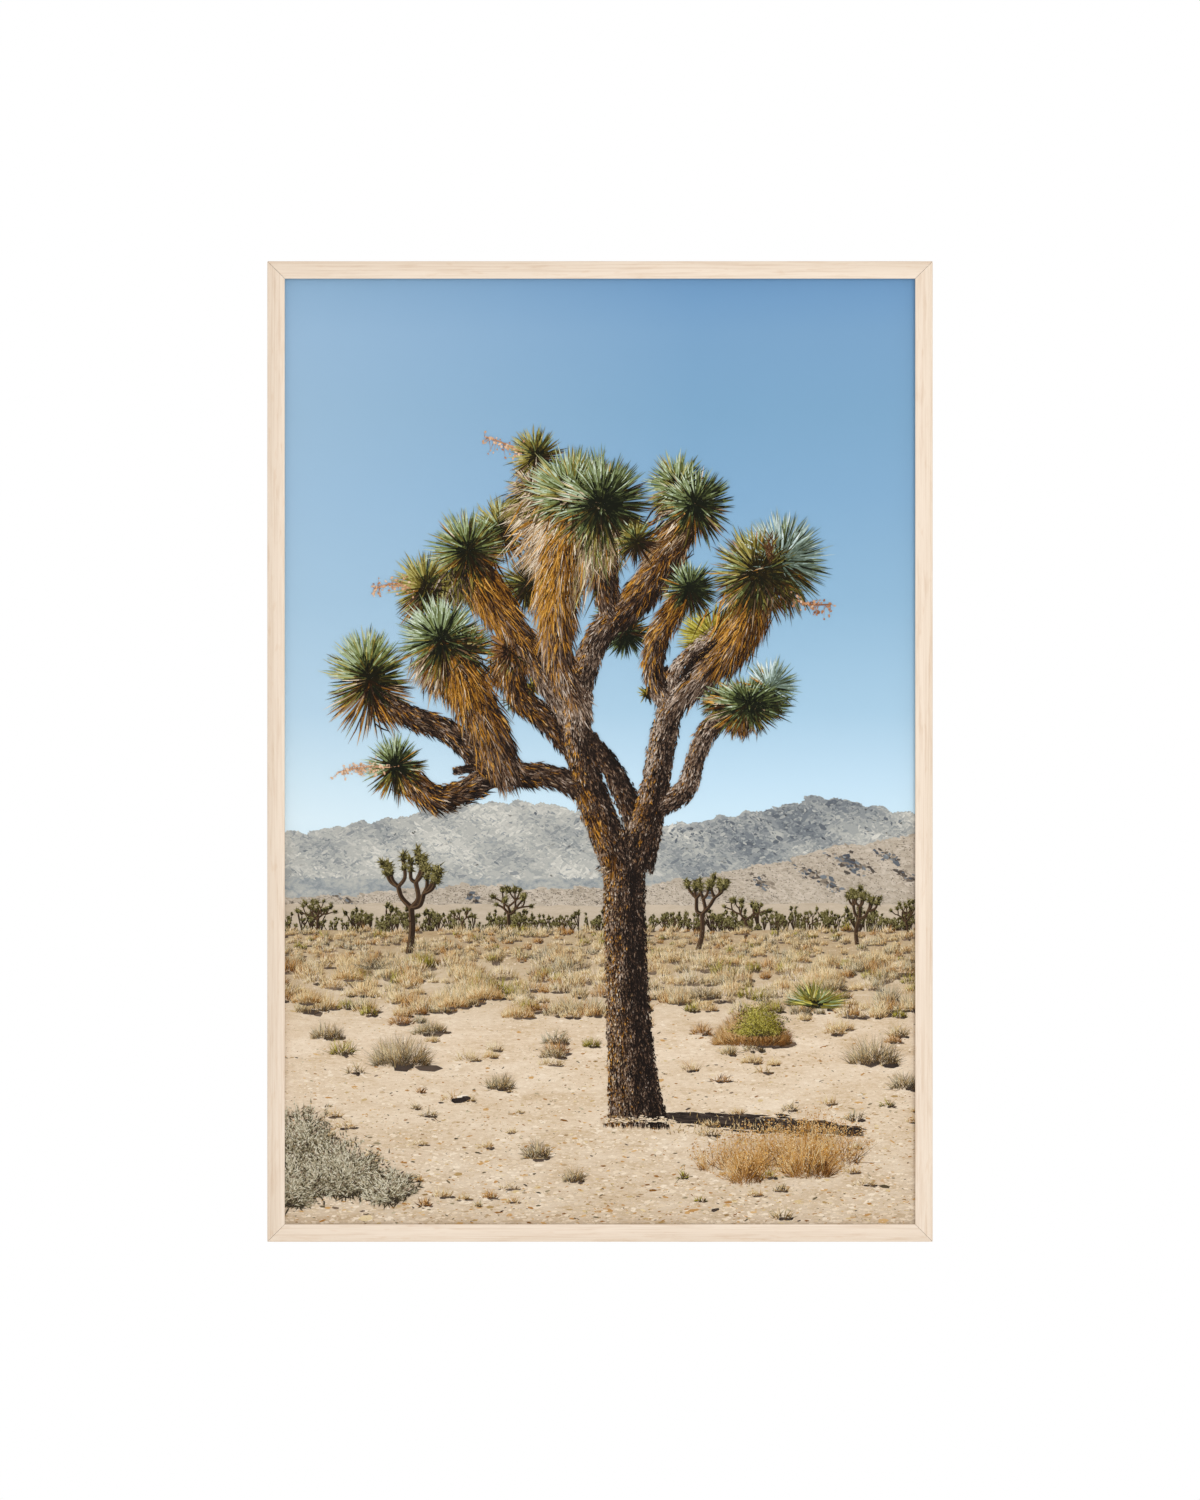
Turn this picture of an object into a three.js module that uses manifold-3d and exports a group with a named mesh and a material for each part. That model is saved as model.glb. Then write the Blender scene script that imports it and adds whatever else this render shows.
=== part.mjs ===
// A framed print, 24 x 36 in, in a thin light-wood frame that hangs on a wall.
// Millimetres, +Z up. The picture faces -Y. The wall is the plane y = 0, and the
// origin is the middle of the hanger's back face, which rests against the wall.

import * as THREE from 'three';
import { mergeVertices } from 'three/addons/utils/BufferGeometryUtils.js';
import Module from 'manifold-3d';

const wasm = await Module();
wasm.setup();

// ---- driving dimensions ----

const sightWidth = 600; // the opening that shows the print
const sightHeight = 900;
const faceWidth = 16.6; // rail, seen from the front
const railDepth = 22; // rail, front to back
const lipWidth = 5; // the lip that holds the glazing in
const lipDepth = 3.2;
const edgeRadius = 0.7; // eased edges of the rails
const edgeSegments = 3;

const glazingThickness = 1.5;
const printThickness = 2; // paper on white card
const boardThickness = 2.5;
const sheetPlay = 1; // room round each sheet inside the rabbet

const gap = 0.3; // clearance between pieces that touch
const wallStandoff = 2.4; // hanger and bumpers, between the wall and the rails

const tabThickness = 0.5;
const tabWidth = 14;
const tabInset = 6.5; // how far a tab is driven into the rail
const tabReach = 15; // how far it lies over the backing board
const tabCorner = 2; // clipped corners of the driven end
const tabStraightShare = 0.6; // of the reach, before the free end tapers
const tabTipShare = 0.45; // of the width, at the free end
const tabsPerSide = { short: 2, long: 3 };

const hangerLength = 44;
const hangerHeight = 9.5;
const hangerThickness = 0.8;
const hangerRaisedLength = 26;
const hangerSlopeLength = 2.5;
const hangerCorner = 2.4;
const toothPitch = 2.6;
const toothDepth = 1.5;
const toothCount = 9;

const nailSpacing = 36;
const nailShankRadius = 0.7;
const nailShankLength = 9;
const nailPointLength = 2;
const nailHeadRadius = 1.9;
const nailHeadThickness = 0.6;

const bumperRadius = 5;
const bumperEdge = 0.5;
const bumperInset = 26; // from the frame's side to the bumper's centre

const wedgeLength = 7; // steel wedge across each mitre, along the joint
const wedgeSpread = 7;
const wedgeThickness = 0.5;
const wedgeDepth = 9;

// ---- places that follow from them ----

const outerWidth = sightWidth + 2 * faceWidth;
const outerHeight = sightHeight + 2 * faceWidth;
const backWidth = faceWidth - lipWidth; // rail, seen from the back
const railBack = -(wallStandoff + gap);
const railFront = railBack - railDepth;
const frameTop = backWidth / 2; // the hanger sits on the middle of the rail's back
const frameCentre = frameTop - outerHeight / 2;
const sheetWidth = sightWidth + 2 * (lipWidth - sheetPlay);
const sheetHeight = sightHeight + 2 * (lipWidth - sheetPlay);
const glazingFront = railFront + lipDepth + gap;
const printFront = glazingFront + glazingThickness + gap;
const boardFront = printFront + printThickness + gap;
const tabFront = boardFront + boardThickness + gap;

// ---- materials ----

function finish(color, roughness, metalness = 0) {
  return new THREE.MeshStandardMaterial({ color, roughness, metalness });
}

const wood = () => finish(0xecdac6, 0.5);
const clearAcrylic = () => {
  const material = finish(0xf4f8f9, 0.08);
  material.transparent = true;
  material.opacity = 0.12;
  return material;
};
const printedPaper = () => finish(0xa9bcc6, 0.7);
const hardboard = () => finish(0x9a7350, 0.8);
const steel = () => finish(0xb8babd, 0.35, 1);
const brass = () => finish(0xc2a25a, 0.35, 1);
const feltPad = () => finish(0xe2ded6, 0.95);

// ---- solids: cutting one closed shape by another ----

function toSolid(geometry) {
  const bare = geometry.clone();
  bare.deleteAttribute('normal');
  bare.deleteAttribute('uv');
  const merged = mergeVertices(bare, 1e-4);
  return new wasm.Manifold(
    new wasm.Mesh({
      numProp: 3,
      vertProperties: new Float32Array(merged.attributes.position.array),
      triVerts: new Uint32Array(merged.index.array),
    }),
  );
}

function toGeometry(solid) {
  const { vertProperties, triVerts } = solid.getMesh();
  const indexed = new THREE.BufferGeometry();
  indexed.setAttribute('position', new THREE.BufferAttribute(new Float32Array(vertProperties), 3));
  indexed.setIndex(new THREE.BufferAttribute(new Uint32Array(triVerts), 1));
  const geometry = indexed.toNonIndexed();
  geometry.computeVertexNormals();
  return geometry;
}

// Cuts the mesh's solid by each cutter, wherever the two stand in the model.
function cutMesh(mesh, cutters) {
  const toMesh = mesh.matrixWorld.clone().invert();
  let solid = toSolid(mesh.geometry);
  for (const cutter of cutters) {
    const local = cutter.geometry.clone().applyMatrix4(cutter.matrixWorld).applyMatrix4(toMesh);
    solid = solid.subtract(toSolid(local));
  }
  mesh.geometry = toGeometry(solid);
}

// ---- rails: one L-shaped section, mitred at both ends ----

// x runs from the rail's outer edge inwards, y from its front to its back.
function railSection() {
  const r = edgeRadius;
  const section = new THREE.Shape();
  section.moveTo(0, r);
  section.absarc(r, r, r, Math.PI, 1.5 * Math.PI);
  section.lineTo(faceWidth - r, 0);
  section.absarc(faceWidth - r, r, r, 1.5 * Math.PI, 2 * Math.PI);
  section.lineTo(faceWidth, lipDepth);
  section.lineTo(backWidth, lipDepth);
  section.lineTo(backWidth, railDepth);
  section.lineTo(r, railDepth);
  section.absarc(r, railDepth - r, r, 0.5 * Math.PI, Math.PI);
  section.closePath();
  return section;
}

function railGeometry(outerLength) {
  const geometry = new THREE.ExtrudeGeometry(railSection(), {
    depth: 1,
    bevelEnabled: false,
    curveSegments: edgeSegments,
  });
  const position = geometry.attributes.position;
  for (let i = 0; i < position.count; i += 1) {
    const halfLength = outerLength / 2 - position.getX(i) - gap / 2; // shorter towards the opening
    position.setZ(i, position.getZ(i) > 0.5 ? halfLength : -halfLength);
  }
  geometry.computeVertexNormals();
  return geometry;
}

// ---- back fittings ----

// A flat steel tab: x goes from its driven point to its free, tapered end.
function tabGeometry(clearance = 0) {
  const half = tabWidth / 2 + clearance;
  const tip = tabInset + clearance;
  const shape = new THREE.Shape();
  shape.moveTo(-tip, -half + tabCorner);
  shape.lineTo(-tip + tabCorner, -half);
  shape.lineTo(tabReach * tabStraightShare, -half);
  shape.lineTo(tabReach, -half * tabTipShare);
  shape.lineTo(tabReach, half * tabTipShare);
  shape.lineTo(tabReach * tabStraightShare, half);
  shape.lineTo(-tip + tabCorner, half);
  shape.lineTo(-tip, half - tabCorner);
  shape.closePath();
  const thickness = tabThickness + 2 * clearance;
  const geometry = new THREE.ExtrudeGeometry(shape, { depth: thickness, bevelEnabled: false });
  geometry.translate(0, 0, -clearance);
  return geometry;
}

// A V of steel strip, driven in from the back, that holds a mitre together.
// The joint runs along x, and the point of the V is towards the opening.
function wedgeGeometry(clearance = 0) {
  const t = wedgeThickness / 2 + clearance;
  const long = wedgeLength / 2 + clearance;
  const wide = wedgeSpread / 2 + clearance;
  const shape = new THREE.Shape();
  shape.moveTo(long + t, 0);
  shape.lineTo(-long, wide + t);
  shape.lineTo(-long, wide - t);
  shape.lineTo(long - 2 * t, 0);
  shape.lineTo(-long, -wide + t);
  shape.lineTo(-long, -wide - t);
  shape.closePath();
  const depth = wedgeDepth + 2 * clearance;
  const geometry = new THREE.ExtrudeGeometry(shape, { depth, bevelEnabled: false });
  geometry.translate(0, 0, -clearance);
  return geometry;
}

// Seen from the back: rounded ends, two nail holes and a toothed lower edge.
function hangerOutline() {
  const half = hangerLength / 2;
  const low = -hangerHeight / 2;
  const high = hangerHeight / 2;
  const corner = hangerCorner;
  const shape = new THREE.Shape();
  shape.moveTo(-half + corner, low);
  const firstTooth = (-toothCount * toothPitch) / 2;
  for (let i = 0; i < toothCount; i += 1) {
    shape.lineTo(firstTooth + i * toothPitch, low);
    shape.lineTo(firstTooth + (i + 0.5) * toothPitch, low + toothDepth);
  }
  shape.lineTo(-firstTooth, low);
  shape.lineTo(half - corner, low);
  shape.absarc(half - corner, low + corner, corner, 1.5 * Math.PI, 2 * Math.PI);
  shape.lineTo(half, high - corner);
  shape.absarc(half - corner, high - corner, corner, 0, 0.5 * Math.PI);
  shape.lineTo(-half + corner, high);
  shape.absarc(-half + corner, high - corner, corner, 0.5 * Math.PI, Math.PI);
  shape.lineTo(-half, low + corner);
  shape.absarc(-half + corner, low + corner, corner, Math.PI, 1.5 * Math.PI);
  for (const side of [-1, 1]) {
    const hole = new THREE.Path();
    hole.absarc((side * nailSpacing) / 2, 0, nailShankRadius + gap, 0, 2 * Math.PI);
    shape.holes.push(hole);
  }
  return shape;
}

// Seen from above: flat ends on the rail, the middle raised to the wall.
function hangerProfile() {
  const half = hangerLength / 2 + 1;
  const foot = hangerRaisedLength / 2 + hangerSlopeLength;
  const top = hangerRaisedLength / 2;
  const t = hangerThickness;
  const bendShift = t * 0.4; // keeps the sloping part about as thick as the rest
  const shape = new THREE.Shape();
  shape.moveTo(-half, -wallStandoff);
  shape.lineTo(-foot, -wallStandoff);
  shape.lineTo(-top, -t);
  shape.lineTo(top, -t);
  shape.lineTo(foot, -wallStandoff);
  shape.lineTo(half, -wallStandoff);
  shape.lineTo(half, -wallStandoff + t);
  shape.lineTo(foot - bendShift, -wallStandoff + t);
  shape.lineTo(top, 0);
  shape.lineTo(-top, 0);
  shape.lineTo(-foot + bendShift, -wallStandoff + t);
  shape.lineTo(-half, -wallStandoff + t);
  shape.closePath();
  return shape;
}

function hangerGeometry() {
  const plate = new THREE.ExtrudeGeometry(hangerOutline(), {
    depth: 4 * wallStandoff,
    bevelEnabled: false,
    curveSegments: 8,
  });
  plate.rotateX(Math.PI / 2); // the outline's y becomes z, and its depth runs towards -Y
  plate.translate(0, wallStandoff, 0);
  const bend = new THREE.ExtrudeGeometry(hangerProfile(), { depth: 2 * hangerHeight, bevelEnabled: false });
  bend.translate(0, 0, -hangerHeight);
  return toGeometry(toSolid(plate).intersect(toSolid(bend)));
}

// A turned piece whose axis runs along Y, from a radius and y for each step.
function turned(profile, segments) {
  const points = profile.map(([radius, y]) => new THREE.Vector2(radius, y));
  return new THREE.LatheGeometry(points, segments);
}

function nailGeometry(clearance = 0) {
  const shank = nailShankRadius + clearance;
  return turned(
    [
      [0, -nailShankLength - clearance],
      [shank, -nailShankLength + nailPointLength],
      [shank, 0],
      [nailHeadRadius, 0],
      [nailHeadRadius * 0.8, nailHeadThickness],
      [0, nailHeadThickness],
    ],
    16,
  );
}

function bumperGeometry() {
  return turned(
    [
      [0, -wallStandoff],
      [bumperRadius, -wallStandoff],
      [bumperRadius, -bumperEdge],
      [bumperRadius - bumperEdge, 0],
      [0, 0],
    ],
    32,
  );
}

// ---- the framed print ----

const framedPrint = new THREE.Group();

function addMesh(parent, name, geometry, material) {
  const mesh = new THREE.Mesh(geometry, material);
  mesh.name = name;
  parent.add(mesh);
  return mesh;
}

function addSheet(name, thickness, front, material) {
  const geometry = new THREE.BoxGeometry(sheetWidth, thickness, sheetHeight);
  const mesh = addMesh(framedPrint, name, geometry, material);
  mesh.position.set(0, front + thickness / 2, frameCentre);
}

addSheet('glazing', glazingThickness, glazingFront, clearAcrylic());
addSheet('print', printThickness, printFront, printedPaper());
addSheet('backing_board', boardThickness, boardFront, hardboard());

// Each side is built as the top one is, and turned about the frame's centre.
const sides = [
  { name: 'top', outerLength: outerWidth, reach: outerHeight / 2, tabs: tabsPerSide.short },
  { name: 'right', outerLength: outerHeight, reach: outerWidth / 2, tabs: tabsPerSide.long },
  { name: 'bottom', outerLength: outerWidth, reach: outerHeight / 2, tabs: tabsPerSide.short },
  { name: 'left', outerLength: outerHeight, reach: outerWidth / 2, tabs: tabsPerSide.long },
];

const rails = [];
const cutters = new THREE.Group(); // the pockets, which are no part of the model

function addTwice(parent, name, geometryOf, material, place) {
  const piece = addMesh(parent, name, geometryOf(0), material);
  place(piece);
  const pocket = new THREE.Mesh(geometryOf(gap));
  piece.updateWorldMatrix(true, false);
  pocket.applyMatrix4(piece.matrixWorld);
  cutters.add(pocket);
}

sides.forEach((side, quarter) => {
  const turn = new THREE.Group();
  turn.position.z = frameCentre;
  turn.rotation.y = (quarter * Math.PI) / 2;
  framedPrint.add(turn);

  const rail = addMesh(turn, `rail_${side.name}`, railGeometry(side.outerLength), wood());
  rail.rotation.y = Math.PI / 2;
  rail.position.set(0, railFront, side.reach);
  rails.push(rail);

  for (let i = 0; i < side.tabs; i += 1) {
    const along = ((i + 0.5) / side.tabs - 0.5) * side.outerLength;
    const suffix = String.fromCharCode(97 + i);
    addTwice(turn, `tab_${side.name}_${suffix}`, tabGeometry, steel(), (tab) => {
      tab.rotation.set(-Math.PI / 2, Math.PI / 2, 0, 'YXZ'); // thickness towards the wall, free end inwards
      tab.position.set(along, tabFront, side.reach - backWidth);
    });
  }
});

const corners = [
  { name: 'top_right', x: 1, z: 1 },
  { name: 'bottom_right', x: 1, z: -1 },
  { name: 'bottom_left', x: -1, z: -1 },
  { name: 'top_left', x: -1, z: 1 },
];
corners.forEach((corner, quarter) => {
  addTwice(framedPrint, `wedge_${corner.name}`, wedgeGeometry, steel(), (wedge) => {
    const inset = backWidth / 2;
    wedge.rotation.set(Math.PI / 2, (quarter * Math.PI) / 2 + 0.75 * Math.PI, 0, 'YXZ');
    wedge.position.set(
      corner.x * (outerWidth / 2 - inset),
      railBack - gap / 2,
      frameCentre + corner.z * (outerHeight / 2 - inset),
    );
  });
});

addMesh(framedPrint, 'hanger', hangerGeometry(), brass());
for (const [name, side] of [
  ['nail_left', -1],
  ['nail_right', 1],
]) {
  addTwice(framedPrint, name, nailGeometry, brass(), (nail) => {
    nail.position.set((side * nailSpacing) / 2, -wallStandoff + hangerThickness + gap, 0);
  });
}

for (const [name, side] of [
  ['bumper_left', -1],
  ['bumper_right', 1],
]) {
  const bumper = addMesh(framedPrint, name, bumperGeometry(), feltPad());
  bumper.position.set(side * (outerWidth / 2 - bumperInset), 0, frameTop - outerHeight + backWidth / 2);
}

framedPrint.updateMatrixWorld(true);
cutters.updateMatrixWorld(true);
for (const rail of rails) {
  cutMesh(rail, cutters.children);
}

export default framedPrint;
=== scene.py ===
import math
import bpy
import numpy as np
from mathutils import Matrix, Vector


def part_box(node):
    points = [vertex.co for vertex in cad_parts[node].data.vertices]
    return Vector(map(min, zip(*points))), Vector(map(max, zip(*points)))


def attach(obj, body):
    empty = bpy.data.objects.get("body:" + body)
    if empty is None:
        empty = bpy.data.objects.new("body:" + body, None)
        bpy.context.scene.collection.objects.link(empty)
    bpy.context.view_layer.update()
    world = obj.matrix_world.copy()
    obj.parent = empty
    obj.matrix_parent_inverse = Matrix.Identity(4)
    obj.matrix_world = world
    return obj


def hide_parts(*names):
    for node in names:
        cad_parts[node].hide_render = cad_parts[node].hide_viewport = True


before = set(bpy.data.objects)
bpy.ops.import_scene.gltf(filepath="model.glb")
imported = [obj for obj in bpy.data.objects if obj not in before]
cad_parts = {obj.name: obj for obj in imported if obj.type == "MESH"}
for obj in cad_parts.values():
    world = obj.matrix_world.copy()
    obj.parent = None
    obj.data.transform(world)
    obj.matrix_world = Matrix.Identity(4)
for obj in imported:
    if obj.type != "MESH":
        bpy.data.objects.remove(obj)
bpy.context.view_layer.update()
mm = 0.001
print("frame loaded", len(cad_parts), "nodes")


def linear(rgb):
    out = []
    for value in rgb:
        value = value / 255
        out.append(value / 12.92 if value <= 0.04045 else ((value + 0.055) / 1.055) ** 2.4)
    return (*out, 1.0)


def deselectAll():
    if bpy.context.object and bpy.context.object.mode != "OBJECT":
        bpy.ops.object.mode_set(mode="OBJECT")
    bpy.ops.object.select_all(action="DESELECT")


def makeActive(piece):
    deselectAll()
    piece.select_set(True)
    bpy.context.view_layer.objects.active = piece


def applyPlace(piece):
    makeActive(piece)
    bpy.ops.object.transform_apply(location=True, rotation=True, scale=True)


def applyModifiers(piece):
    makeActive(piece)
    for modifier in list(piece.modifiers):
        bpy.ops.object.modifier_apply(modifier=modifier.name)


def newMaterial(name, roughness=0.6, metallic=0.0):
    material = bpy.data.materials.new(name)
    material.use_nodes = True
    shader = material.node_tree.nodes["Principled BSDF"]
    shader.inputs["Roughness"].default_value = roughness
    shader.inputs["Metallic"].default_value = metallic
    return material, material.node_tree.nodes, material.node_tree.links, shader


def rampNode(nodes, stops, interpolation="LINEAR"):
    ramp = nodes.new("ShaderNodeValToRGB")
    ramp.color_ramp.interpolation = interpolation
    elements = ramp.color_ramp.elements
    elements[0].position, elements[0].color = stops[0][0], linear(stops[0][1])
    elements[1].position, elements[1].color = stops[-1][0], linear(stops[-1][1])
    for place, colour in stops[1:-1]:
        element = elements.new(place)
        element.color = linear(colour)
    return ramp


def objectPlace(nodes, links, scale=(1, 1, 1), location=(0, 0, 0)):
    coordinates = nodes.new("ShaderNodeTexCoord")
    mapping = nodes.new("ShaderNodeMapping")
    mapping.inputs["Scale"].default_value = scale
    mapping.inputs["Location"].default_value = location
    links.new(coordinates.outputs["Object"], mapping.inputs["Vector"])
    return mapping


def noiseNode(nodes, links, mapping, scale, detail=4, roughness=0.55, distortion=0.0):
    noise = nodes.new("ShaderNodeTexNoise")
    noise.inputs["Scale"].default_value = scale
    noise.inputs["Detail"].default_value = detail
    noise.inputs["Roughness"].default_value = roughness
    noise.inputs["Distortion"].default_value = distortion
    links.new(mapping.outputs["Vector"], noise.inputs["Vector"])
    return noise


def mixColours(nodes, links, factor, first, second, blend="MIX"):
    mix = nodes.new("ShaderNodeMix")
    mix.data_type = "RGBA"
    mix.blend_type = blend
    if isinstance(factor, (int, float)):
        mix.inputs[0].default_value = factor
    else:
        links.new(factor, mix.inputs[0])
    for socket, value in ((mix.inputs[6], first), (mix.inputs[7], second)):
        if isinstance(value, tuple):
            socket.default_value = value
        else:
            links.new(value, socket)
    return mix.outputs[2]


def bumpFrom(nodes, links, shader, height, strength, distance):
    bump = nodes.new("ShaderNodeBump")
    bump.inputs["Strength"].default_value = strength
    bump.inputs["Distance"].default_value = distance
    links.new(height, bump.inputs["Height"])
    links.new(bump.outputs["Normal"], shader.inputs["Normal"])


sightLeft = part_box("rail_left")[1].x
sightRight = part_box("rail_right")[0].x
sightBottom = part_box("rail_bottom")[1].z
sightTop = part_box("rail_top")[0].z
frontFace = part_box("rail_top")[0].y
printLow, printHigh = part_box("print")
paper = {"sheetBack": 0.3, "overlap": 4.0}  # card behind the picture, and picture under the lip, in mm
paperY = printHigh.y - paper["sheetBack"] * mm
pictureWide = (sightRight - sightLeft) / mm  # 600
pictureHigh = (sightTop - sightBottom) / mm  # 900
centre = Vector(((sightLeft + sightRight) / 2, frontFace, (sightBottom + sightTop) / 2))


view = {"distance": 5.2, "tall": 1427.4, "rise": 1.4}  # metres, then mm seen at the frame's front
studio = {"floorDrop": 0.5, "floorSize": (9.0, 7.0), "floorBack": 1.4,
          "ambient": 0.60, "keyPlace": (0.55, -3.6, 0.15), "keyEnergy": 65.5, "keySize": 2.4}

cameraData = bpy.data.cameras.new("camera")
cameraData.sensor_width = 36
cameraData.sensor_height = 36
cameraData.sensor_fit = "VERTICAL"
cameraData.lens = 36 * view["distance"] / (view["tall"] * mm)
camera = bpy.data.objects.new("camera", cameraData)
camera.location = (centre.x, frontFace - view["distance"], centre.z + view["rise"] * mm)
camera.rotation_euler = (math.pi / 2, 0, 0)
bpy.context.collection.objects.link(camera)
bpy.context.scene.camera = camera
bpy.context.scene.view_settings.view_transform = "Standard"

deselectAll()
floorZ = sightBottom - studio["floorDrop"]
bpy.ops.mesh.primitive_plane_add(
    size=1, location=(centre.x, studio["floorBack"] - studio["floorSize"][1] / 2, floorZ))
floor = bpy.context.object
floor.name = "floor"
floor.scale = (*studio["floorSize"], 1)
applyPlace(floor)
floorMaterial, nodes, links, shader = newMaterial("palePlaster", 0.8)
shader.inputs["Base Color"].default_value = linear((250, 250, 248))
floor.data.materials.append(floorMaterial)

world = bpy.data.worlds.new("studio")
bpy.context.scene.world = world
world.use_nodes = True
nodes, links = world.node_tree.nodes, world.node_tree.links
nodes.clear()
seen = nodes.new("ShaderNodeBackground")
seen.inputs["Color"].default_value = (1, 1, 1, 1)
ambient = nodes.new("ShaderNodeBackground")
ambient.inputs["Color"].default_value = (1, 1, 1, 1)
ambient.inputs["Strength"].default_value = studio["ambient"]
rays = nodes.new("ShaderNodeLightPath")
mixer = nodes.new("ShaderNodeMixShader")
worldOut = nodes.new("ShaderNodeOutputWorld")
links.new(rays.outputs["Is Camera Ray"], mixer.inputs[0])
links.new(ambient.outputs[0], mixer.inputs[1])
links.new(seen.outputs[0], mixer.inputs[2])
links.new(mixer.outputs[0], worldOut.inputs[0])


def addLamp(name, place, energy, size):
    lampData = bpy.data.lights.new(name, "AREA")
    lampData.energy = energy
    lampData.size = size
    lamp = bpy.data.objects.new(name, lampData)
    lamp.location = centre + Vector(place)
    lamp.rotation_euler = (centre - lamp.location).to_track_quat("-Z", "Y").to_euler()
    bpy.context.collection.objects.link(lamp)


addLamp("keyLamp", studio["keyPlace"], studio["keyEnergy"], studio["keySize"])
print("camera and lamps set")


wood = {"bevel": 0.5 * mm, "segments": 3, "notch": 0.12 * mm, "spare": 8 * mm}


def woodFinish(name, alongX):
    material, nodes, links, shader = newMaterial(name, 0.42)
    stretch = (2.2, 26, 26) if alongX else (26, 26, 2.2)
    place = objectPlace(nodes, links, stretch, (3.1, 0.4, 1.7) if alongX else (0.7, 2.9, 5.3))
    broad = noiseNode(nodes, links, place, 1.3, 3, 0.5, 0.6)
    fine = noiseNode(nodes, links, place, 9.0, 6, 0.62, 0.3)
    fibre = (10, 640, 640) if alongX else (640, 640, 10)
    thread = noiseNode(nodes, links, objectPlace(nodes, links, fibre), 1.0, 3, 0.6)
    fleckStretch = (60, 260, 260) if alongX else (260, 260, 60)
    fleck = noiseNode(nodes, links, objectPlace(nodes, links, fleckStretch), 1.0, 2, 0.5)
    base = rampNode(nodes, [(0.25, (225, 206, 185)), (0.5, (230, 212, 192)), (0.78, (235, 218, 199))])
    grain = rampNode(nodes, [(0.3, (224, 203, 180)), (0.48, (255, 255, 255)), (1.0, (255, 255, 255))])
    threads = rampNode(nodes, [(0.25, (228, 214, 198)), (0.55, (255, 255, 255)), (0.9, (255, 250, 244))])
    flecks = rampNode(nodes, [(0.62, (255, 255, 255)), (0.74, (238, 222, 203)), (0.85, (230, 210, 188))])
    links.new(broad.outputs["Fac"], base.inputs["Fac"])
    links.new(fine.outputs["Fac"], grain.inputs["Fac"])
    links.new(thread.outputs["Fac"], threads.inputs["Fac"])
    links.new(fleck.outputs["Fac"], flecks.inputs["Fac"])
    colour = mixColours(nodes, links, 0.34, base.outputs["Color"], grain.outputs["Color"], "MULTIPLY")
    colour = mixColours(nodes, links, 0.55, colour, threads.outputs["Color"], "MULTIPLY")
    colour = mixColours(nodes, links, 0.3, colour, flecks.outputs["Color"], "MULTIPLY")
    links.new(colour, shader.inputs["Base Color"])
    bumpFrom(nodes, links, shader, thread.outputs["Fac"], 0.18, 0.0002)
    return material


woodAcross = woodFinish("mapleAcross", True)
woodUp = woodFinish("mapleUpright", False)


def makeRail(side):
    low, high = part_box("rail_" + side)
    across = side in ("top", "bottom")
    size = high - low
    deselectAll()
    bpy.ops.mesh.primitive_cube_add(size=1, location=(low + high) / 2)
    rail = bpy.context.object
    rail.name = side + "_rail_wood"
    # the spare length is sawn off at the mitres
    rail.scale = size + Vector((wood["spare"], 0, 0) if across else (0, 0, wood["spare"]))
    applyPlace(rail)
    deselectAll()
    glazeLow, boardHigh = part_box("glazing")[0], high.y + 5 * mm
    sheetLow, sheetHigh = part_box("backing_board")
    room = 1.0 * mm
    pocketLow = Vector((sheetLow.x - room, glazeLow.y - 0.3 * mm, sheetLow.z - room))
    pocketHigh = Vector((sheetHigh.x + room, boardHigh, sheetHigh.z + room))
    bpy.ops.mesh.primitive_cube_add(size=1, location=(pocketLow + pocketHigh) / 2)
    pocket = bpy.context.object
    pocket.scale = pocketHigh - pocketLow
    applyPlace(pocket)
    rebate = rail.modifiers.new("rebate", "BOOLEAN")
    rebate.operation = "DIFFERENCE"
    rebate.solver = "EXACT"
    rebate.object = pocket
    applyModifiers(rail)
    bpy.data.objects.remove(pocket, do_unlink=True)
    easing = rail.modifiers.new("easing", "BEVEL")
    easing.width = wood["bevel"]
    easing.segments = wood["segments"]
    easing.limit_method = "ANGLE"
    easing.angle_limit = math.radians(40)
    applyModifiers(rail)
    # mitres, cut through the frame's corners at 45 degrees
    makeActive(rail)
    bpy.ops.object.mode_set(mode="EDIT")
    frameLow = Vector((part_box("rail_left")[0].x, 0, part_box("rail_bottom")[0].z))
    frameHigh = Vector((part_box("rail_right")[1].x, 0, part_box("rail_top")[1].z))
    corners = {
        "top": ((frameLow.x, frameHigh.z, -1, -1), (frameHigh.x, frameHigh.z, 1, -1)),
        "bottom": ((frameLow.x, frameLow.z, -1, 1), (frameHigh.x, frameLow.z, 1, 1)),
        "left": ((frameLow.x, frameHigh.z, 1, 1), (frameLow.x, frameLow.z, 1, -1)),
        "right": ((frameHigh.x, frameHigh.z, -1, 1), (frameHigh.x, frameLow.z, -1, -1)),
    }[side]
    for x, z, nx, nz in corners:
        normal = Vector((nx, 0, nz)).normalized()
        cut = Vector((x, 0, z)) - normal * wood["notch"]
        bpy.ops.mesh.select_all(action="SELECT")
        bpy.ops.mesh.bisect(plane_co=cut, plane_no=normal, use_fill=True, clear_outer=True)
    bpy.ops.mesh.select_all(action="SELECT")
    bpy.ops.mesh.normals_make_consistent(inside=False)
    bpy.ops.object.mode_set(mode="OBJECT")
    bpy.ops.object.shade_smooth_by_angle(angle=math.radians(30))
    rail.data.materials.append(woodAcross if across else woodUp)
    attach(rail, "root")
    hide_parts("rail_" + side)


for side in ("top", "bottom", "left", "right"):
    makeRail(side)
print("rails made")


def dress(prefix, material):
    for name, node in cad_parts.items():
        if name.startswith(prefix):
            node.data.materials.clear()
            node.data.materials.append(material)


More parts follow.
